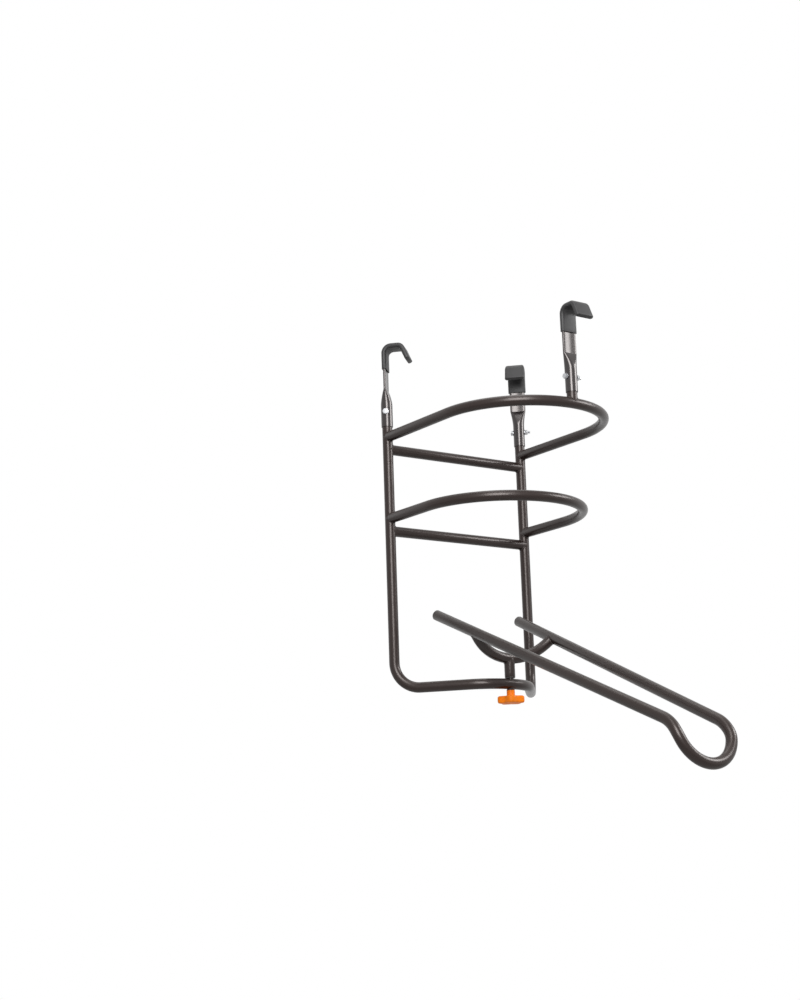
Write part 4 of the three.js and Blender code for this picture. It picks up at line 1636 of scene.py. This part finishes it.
    def post(self, bottom: float) -> bpy.types.Object:
        """Stand the post under the cradle's lowest point.

        Args:
            bottom: height of the post's foot.

        Returns:
            The post.
        """
        s = self.sizes
        seat = self.place @ Vector((0.0, -s.cradle_ahead, -s.cradle_depth))
        foot = Vector((0.0, self.cage.pivot_back, bottom))
        bender = TubeBender("swivel_post_tube", foot, Z)
        post = bender.straight(seat.z - bottom, s.post_rings).done(s.post_wall)
        cope(post, seat, X)
        self.fit(self.weld.run("swivel_post_weld", seat, X, -Z), Body.CHUTE, WELD_COAT)
        return self.fit(post, Body.CHUTE, POWDER_COAT, "swivel_post")

    def build(self, post_bottom: float) -> None:
        """Build the chute.

        Args:
            post_bottom: height of the post's foot.
        """
        self.rails()
        self.cradle()
        self.post(post_bottom)
        for side in Side:
            self.plug(side)


@dataclass(frozen=True)
class ClampSizes:
    """Driving sizes of the swivel's inner pieces and of the clamp knob.

    Args:
        bore_fit: clearance round the stud.
        slip_radius: outside radius of the slip washer.
        slip_thickness: its thickness.
        insert_length: length of the threaded insert.
        stud_in_insert: how far the stud reaches into it.
        stud_in_knob: how far the stud reaches into the knob.
        pitch: pitch of the stud's thread.
        washer_radius: outside radius of the knob's washer.
        washer_thickness: its thickness.
        neck_radius: radius of the knob's neck.
        neck_length: length of the neck.
        head_radius: radius over the knob's lobes.
        head_height: height of its head.
        lobe_depth: half the depth of the hollows between lobes.
        lobes: how many lobes.
        rest_turn: how far the knob is turned when it is tight.
        edge_round: rounding of the head's edges.
        crown: how far the underside is crowned.
        neck_root: rounding where the neck stands on the head.
        neck_lip: width of the chamfer on the neck's rim.
        root_steps: steps of the neck's rounding.
        top_steps: steps across the head's top.
        round_steps: steps of the rounding of the head's edges.
        crown_steps: steps of the crowned underside.
        stud_sides: facets round the stud.
        knob_sides: facets round the knob.
    """

    bore_fit: float = 0.0003
    slip_radius: float = 0.0106
    slip_thickness: float = 0.0016
    insert_length: float = 0.018
    stud_in_insert: float = 0.015
    stud_in_knob: float = 0.016
    pitch: float = 0.0015
    washer_radius: float = 0.0086
    washer_thickness: float = 0.0012
    neck_radius: float = 0.0085
    neck_length: float = 0.0123
    head_radius: float = 0.029
    head_height: float = 0.0162
    lobe_depth: float = 0.0032
    lobes: int = 5
    rest_turn: float = math.radians(15.8)
    edge_round: float = 0.004
    crown: float = 0.0012
    neck_root: float = 0.0022
    neck_lip: float = 0.0005
    root_steps: int = 6
    top_steps: int = 5
    round_steps: int = 8
    crown_steps: int = 8
    stud_sides: int = 40
    knob_sides: int = 180


class Clamp(SubAssembly):
    """The swivel's inner pieces and the clamp screw with its knob."""

    def __init__(self, paint: PaintShop, sizes: ClampSizes, cage: CageSizes, post_wall: float) -> None:
        """Keep the sizes and work out the stack of heights.

        Args:
            paint: the shop that holds the finishes.
            sizes: the clamp's sizes.
            cage: the cage whose foot bar it works in.
            post_wall: wall of the swivel post.
        """
        super().__init__(paint)
        self.sizes = sizes
        self.cage = cage
        self.post_wall = post_wall
        self.axis = Matrix.Translation((0.0, cage.pivot_back, 0.0))
        self.slip_bottom = cage.bush_top + SEAT_GAP
        self.post_bottom = self.slip_bottom + sizes.slip_thickness + SEAT_GAP
        self.washer_top = cage.bush_bottom - SEAT_GAP
        self.knob_top = self.washer_top - sizes.washer_thickness - SEAT_GAP
        self.bore = cage.stud_radius + sizes.bore_fit

    def ring_piece(self, node: str, outer: float, bottom: float, height: float, body: Body,
                   finish: Finish) -> bpy.types.Object:
        """Turn one of the rings that the stud passes through.

        Args:
            node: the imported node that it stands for.
            outer: its outside radius.
            bottom: its lower face.
            height: its height.
            body: the body that it rides on.
            finish: its finish.

        Returns:
            The ring.
        """
        ring = turn_profile(f"{node}_turned", ring_profile(self.bore, outer, bottom, bottom + height))
        ease_edges(ring)
        smooth(ring)
        place_piece(ring, self.axis)
        return self.fit(ring, body, finish, node)

    def stud(self) -> bpy.types.Object:
        """Turn the stud and cut its thread.

        Returns:
            The stud.
        """
        s = self.sizes
        bottom = self.knob_top - s.stud_in_knob
        top = self.post_bottom + SEAT_GAP + s.stud_in_insert
        profile = rod_profile(self.cage.stud_radius, bottom, self.knob_top, top, s.pitch)
        stud = turn_profile("knob_stud_threaded", profile, s.stud_sides)
        cut_thread(stud, s.pitch, self.knob_top, top)
        smooth(stud)
        place_piece(stud, self.axis)
        return self.fit(stud, Body.CLAMP_SCREW, ZINC_PLATE, "knob_stud")

    def _knob_profile(self) -> list[tuple[float, float]]:
        """The knob's profile over a lobe, from the stud's blind bore round to the underside.

        Returns:
            Points as radius and height.
        """
        s = self.sizes
        head_top = self.knob_top - s.neck_length
        bottom = head_top - s.head_height
        floor = self.knob_top - s.stud_in_knob - SEAT_GAP
        rim = s.head_radius - s.edge_round
        root = s.neck_radius + s.neck_root
        low = bottom + s.crown
        neck_axes = (s.neck_root, s.neck_root)
        edge_axes = (s.edge_round, s.edge_round)
        profile = [(0.0, floor), (self.bore, floor), (self.bore, self.knob_top),
                   (s.neck_radius - s.neck_lip, self.knob_top),
                   (s.neck_radius, self.knob_top - s.neck_lip)]
        profile += arc_points((root, head_top + s.neck_root), neck_axes, 180.0, 270.0, s.root_steps)
        profile += [(root + (rim - root) * i / s.top_steps, head_top) for i in range(1, s.top_steps)]
        profile += arc_points((rim, head_top - s.edge_round), edge_axes, 90.0, 0.0, s.round_steps)
        profile += [(s.head_radius, head_top - s.head_height / 2)]
        profile += arc_points((rim, low + s.edge_round), edge_axes, 0.0, -90.0, s.round_steps)
        for i in range(1, s.crown_steps + 1):
            sag = s.crown * math.sin(math.pi / 2 * i / s.crown_steps)
            profile.append((rim * (1 - i / s.crown_steps), low - sag))
        return profile

    def knob(self) -> bpy.types.Object:
        """Turn the knob, then press the hollows between its lobes.

        Returns:
            The knob.
        """
        s = self.sizes
        knob = turn_profile("clamp_knob_moulded", self._knob_profile(), s.knob_sides)
        for vert in knob.data.vertices:
            radius = math.hypot(vert.co.x, vert.co.y)
            if vert.co.z > self.knob_top - s.neck_length + MERGE_DISTANCE or radius <= s.neck_radius:
                continue
            out = min(1.0, (radius - s.neck_radius) / (s.head_radius - s.edge_round - s.neck_radius))
            angle = math.atan2(vert.co.y, vert.co.x) - s.rest_turn
            hollow = s.lobe_depth * (1.0 - math.cos(s.lobes * angle))
            share = (radius - hollow * out) / radius
            vert.co.x *= share
            vert.co.y *= share
        smooth(knob)
        place_piece(knob, self.axis)
        return self.fit(knob, Body.CLAMP_SCREW, ORANGE_PLASTIC, "clamp_knob")

    def build(self) -> None:
        """Build the swivel's inner pieces, the stud and the knob."""
        s = self.sizes
        self.ring_piece("slip_washer", s.slip_radius, self.slip_bottom, s.slip_thickness, Body.CHUTE,
                        NYLON)
        insert_radius = STOCK.radius - self.post_wall - s.bore_fit
        self.ring_piece("post_insert", insert_radius, self.post_bottom + SEAT_GAP, s.insert_length,
                        Body.CHUTE, ZINC_PLATE)
        # The knob's washer is black plastic. The dark colour also stands in for the shade in the gap
        # between the knob and the foot bar, so it is partly painted shade.
        self.ring_piece("knob_washer", s.washer_radius, self.knob_top + SEAT_GAP, s.washer_thickness,
                        Body.CLAMP_TRAVEL, BLACK_PLASTIC)
        self.stud()
        self.knob()


@dataclass(frozen=True)
class Viewpoint:
    """Where the photograph was taken from.

    Args:
        place: the camera's place.
        heading: the angle from +Y towards +X that it looks along.
        elevation: how far up it looks.
        roll: how far it is rolled.
        lens: focal length in millimetres.
        sensor: the longer side of the sensor in millimetres.
        far: how far it sees.
    """

    place: tuple[float, float, float] = (-2.225326, -2.797884, -1.139657)
    heading: float = math.radians(34.69652)
    elevation: float = math.radians(12.628664)
    roll: float = math.radians(-1.811925)
    lens: float = 61.870
    sensor: float = 36.0
    far: float = 200.0

    def set_up(self) -> None:
        """Add the camera and make it the scene's own."""
        data = bpy.data.cameras.new("camera")
        data.lens = self.lens
        data.sensor_width = self.sensor
        data.clip_end = self.far
        camera = bpy.data.objects.new("camera", data)
        bpy.context.scene.collection.objects.link(camera)
        pan = Matrix.Rotation(-self.heading, 4, "Z")
        lift = Matrix.Rotation(math.pi / 2 + self.elevation, 4, "X")
        roll = Matrix.Rotation(self.roll, 4, "Z")
        camera.matrix_world = Matrix.Translation(self.place) @ (pan @ lift) @ roll
        bpy.context.scene.camera = camera


@dataclass(frozen=True)
class SoftBox:
    """A soft panel lamp that faces the object.

    Args:
        title: its name.
        heading: where it stands, as an angle from -Y towards +X round the object.
        elevation: how high it stands, as an angle over the object.
        distance: how far it stands from the object.
        width: its width.
        height: its height.
        radiance: the light that each part of it gives off.
    """

    title: str
    heading: float
    elevation: float
    distance: float
    width: float
    height: float
    radiance: float

    def set_up(self, aim: Vector) -> None:
        """Hang the lamp.

        Args:
            aim: the point that it faces.
        """
        data = bpy.data.lights.new(self.title, "AREA")
        data.shape = "RECTANGLE"
        data.size = self.width
        data.size_y = self.height
        data.energy = self.radiance * math.pi * self.width * self.height
        lamp = bpy.data.objects.new(self.title, data)
        bpy.context.scene.collection.objects.link(lamp)
        heading = math.radians(self.heading)
        elevation = math.radians(self.elevation)
        level = math.cos(elevation)
        away = Vector((math.sin(heading) * level, -math.cos(heading) * level, math.sin(elevation)))
        turn = away.to_track_quat("Z", "Y").to_matrix().to_4x4()
        lamp.matrix_world = Matrix.Translation(aim + away * self.distance) @ turn


@dataclass
class Studio:
    """The plain studio: a pale court floor far below, a white surround and soft lamps.

    Args:
        floor_height: height of the court's floor.
        floor_radius: radius of the floor.
        floor_sides: facets round its edge.
        floor_colour: its linear colour.
        floor_roughness: its roughness.
        floor_lift: how far the floor is lifted towards its glow, where it is seen.
        floor_glow: brightness of that glow.
        fill: strength of the surround as a light.
        boxes: the lamps.
    """

    floor_height: float = -3.05
    floor_radius: float = 9.0
    floor_sides: int = 96
    floor_colour: tuple[float, float, float] = (0.86, 0.86, 0.85)
    floor_roughness: float = 0.9
    floor_lift: float = 0.65
    floor_glow: float = 0.9
    fill: float = 0.22
    boxes: tuple[SoftBox, ...] = (
        SoftBox("front_box", -38.0, 23.0, 3.0, 1.35, 2.3, 12.0),
        SoftBox("side_box", 56.0, 27.0, 3.0, 1.5, 1.0, 10.0),
        SoftBox("top_box", -38.0, 64.0, 3.0, 1.0, 0.8, 3.5),
        SoftBox("back_box", 180.0, 78.0, 3.2, 1.8, 1.8, 1.6),
    )

    def floor(self) -> None:
        """Lay the floor."""
        let_go()
        bpy.ops.mesh.primitive_circle_add(
            vertices=self.floor_sides, radius=self.floor_radius, fill_type="NGON",
            location=(0.0, 0.0, self.floor_height))
        floor = name_piece(bpy.context.object, "floor")
        settle(floor)
        material = bpy.data.materials.new("Pale floor")
        material.use_nodes = True
        tree = material.node_tree
        wiring = Wiring(tree)
        shader = tree.nodes["Principled BSDF"]
        shader.inputs["Base Color"].default_value = (*self.floor_colour, 1.0)
        shader.inputs["Roughness"].default_value = self.floor_roughness
        glow = wiring.node("ShaderNodeEmission", values={
            "Color": (1.0, 1.0, 1.0, 1.0), "Strength": self.floor_glow})
        seen = wiring.maths("MULTIPLY", self.seen_rays(wiring), self.floor_lift)
        lifted = wiring.node("ShaderNodeMixShader", values={
            0: seen, 1: shader.outputs[0], 2: glow.outputs[0]})
        tree.links.new(lifted.outputs[0], tree.nodes["Material Output"].inputs["Surface"])
        floor.data.materials.append(material)

    @staticmethod
    def seen_rays(wiring: Wiring) -> bpy.types.NodeSocket:
        """Tell the rays that show a thing, directly or in a reflection, from those that only light.

        Args:
            wiring: the tree that asks.

        Returns:
            A socket that is 1 for rays that show it and 0 for the rest.
        """
        rays = wiring.node("ShaderNodeLightPath").outputs
        seen = wiring.maths("MAXIMUM", rays["Is Camera Ray"], rays["Is Glossy Ray"])
        return wiring.maths("MAXIMUM", seen, rays["Is Transmission Ray"])

    def surround(self) -> None:
        """Make the surround white to the camera and in reflections, and a plain fill as a light."""
        world = bpy.data.worlds.new("Surround")
        bpy.context.scene.world = world
        world.use_nodes = True
        wiring = Wiring(world.node_tree)
        seen = self.seen_rays(wiring)
        background = world.node_tree.nodes["Background"]
        background.inputs["Color"].default_value = (1.0, 1.0, 1.0, 1.0)
        strength = wiring.ramp(seen, 0.0, 1.0, self.fill, 1.0)
        world.node_tree.links.new(strength, background.inputs["Strength"])

    def set_up(self, aim: Vector) -> None:
        """Set up the floor, the surround and the lamps.

        Args:
            aim: the point that the lamps face.
        """
        self.floor()
        self.surround()
        for box in self.boxes:
            box.set_up(aim)
        bpy.context.scene.view_settings.view_transform = "Standard"


def main() -> None:
    """Build the studio and every sub-assembly, logging each piece as it is fitted."""
    logging.basicConfig(level=logging.INFO, format="%(name)s: %(message)s")
    low, high = CAD_BOX
    Viewpoint().set_up()
    Studio().set_up((low + high) / 2)
    paint = PaintShop()
    cage, bolt, hook, chute = CageSizes(), BoltSizes(), HookSizes(), ChuteSizes()
    Cage(paint, cage, bolt).build()
    feet = {
        "left": (Vector((-cage.leg_x, cage.leg_y, 0.0)), math.atan2(-cage.leg_y, cage.leg_x)),
        "right": (Vector((cage.leg_x, cage.leg_y, 0.0)), math.atan2(-cage.leg_y, -cage.leg_x)),
        "front": (Vector((0.0, cage.stub_y, 0.0)), -math.pi / 2),
    }
    for word, (foot, heading) in feet.items():
        HookSet(paint, word, foot, heading, hook, bolt).build()
    clamp = Clamp(paint, ClampSizes(), cage, chute.post_wall)
    clamp.build()
    Chute(paint, chute, cage).build(clamp.post_bottom)
    let_go()


if __name__ == "__main__":
    main()
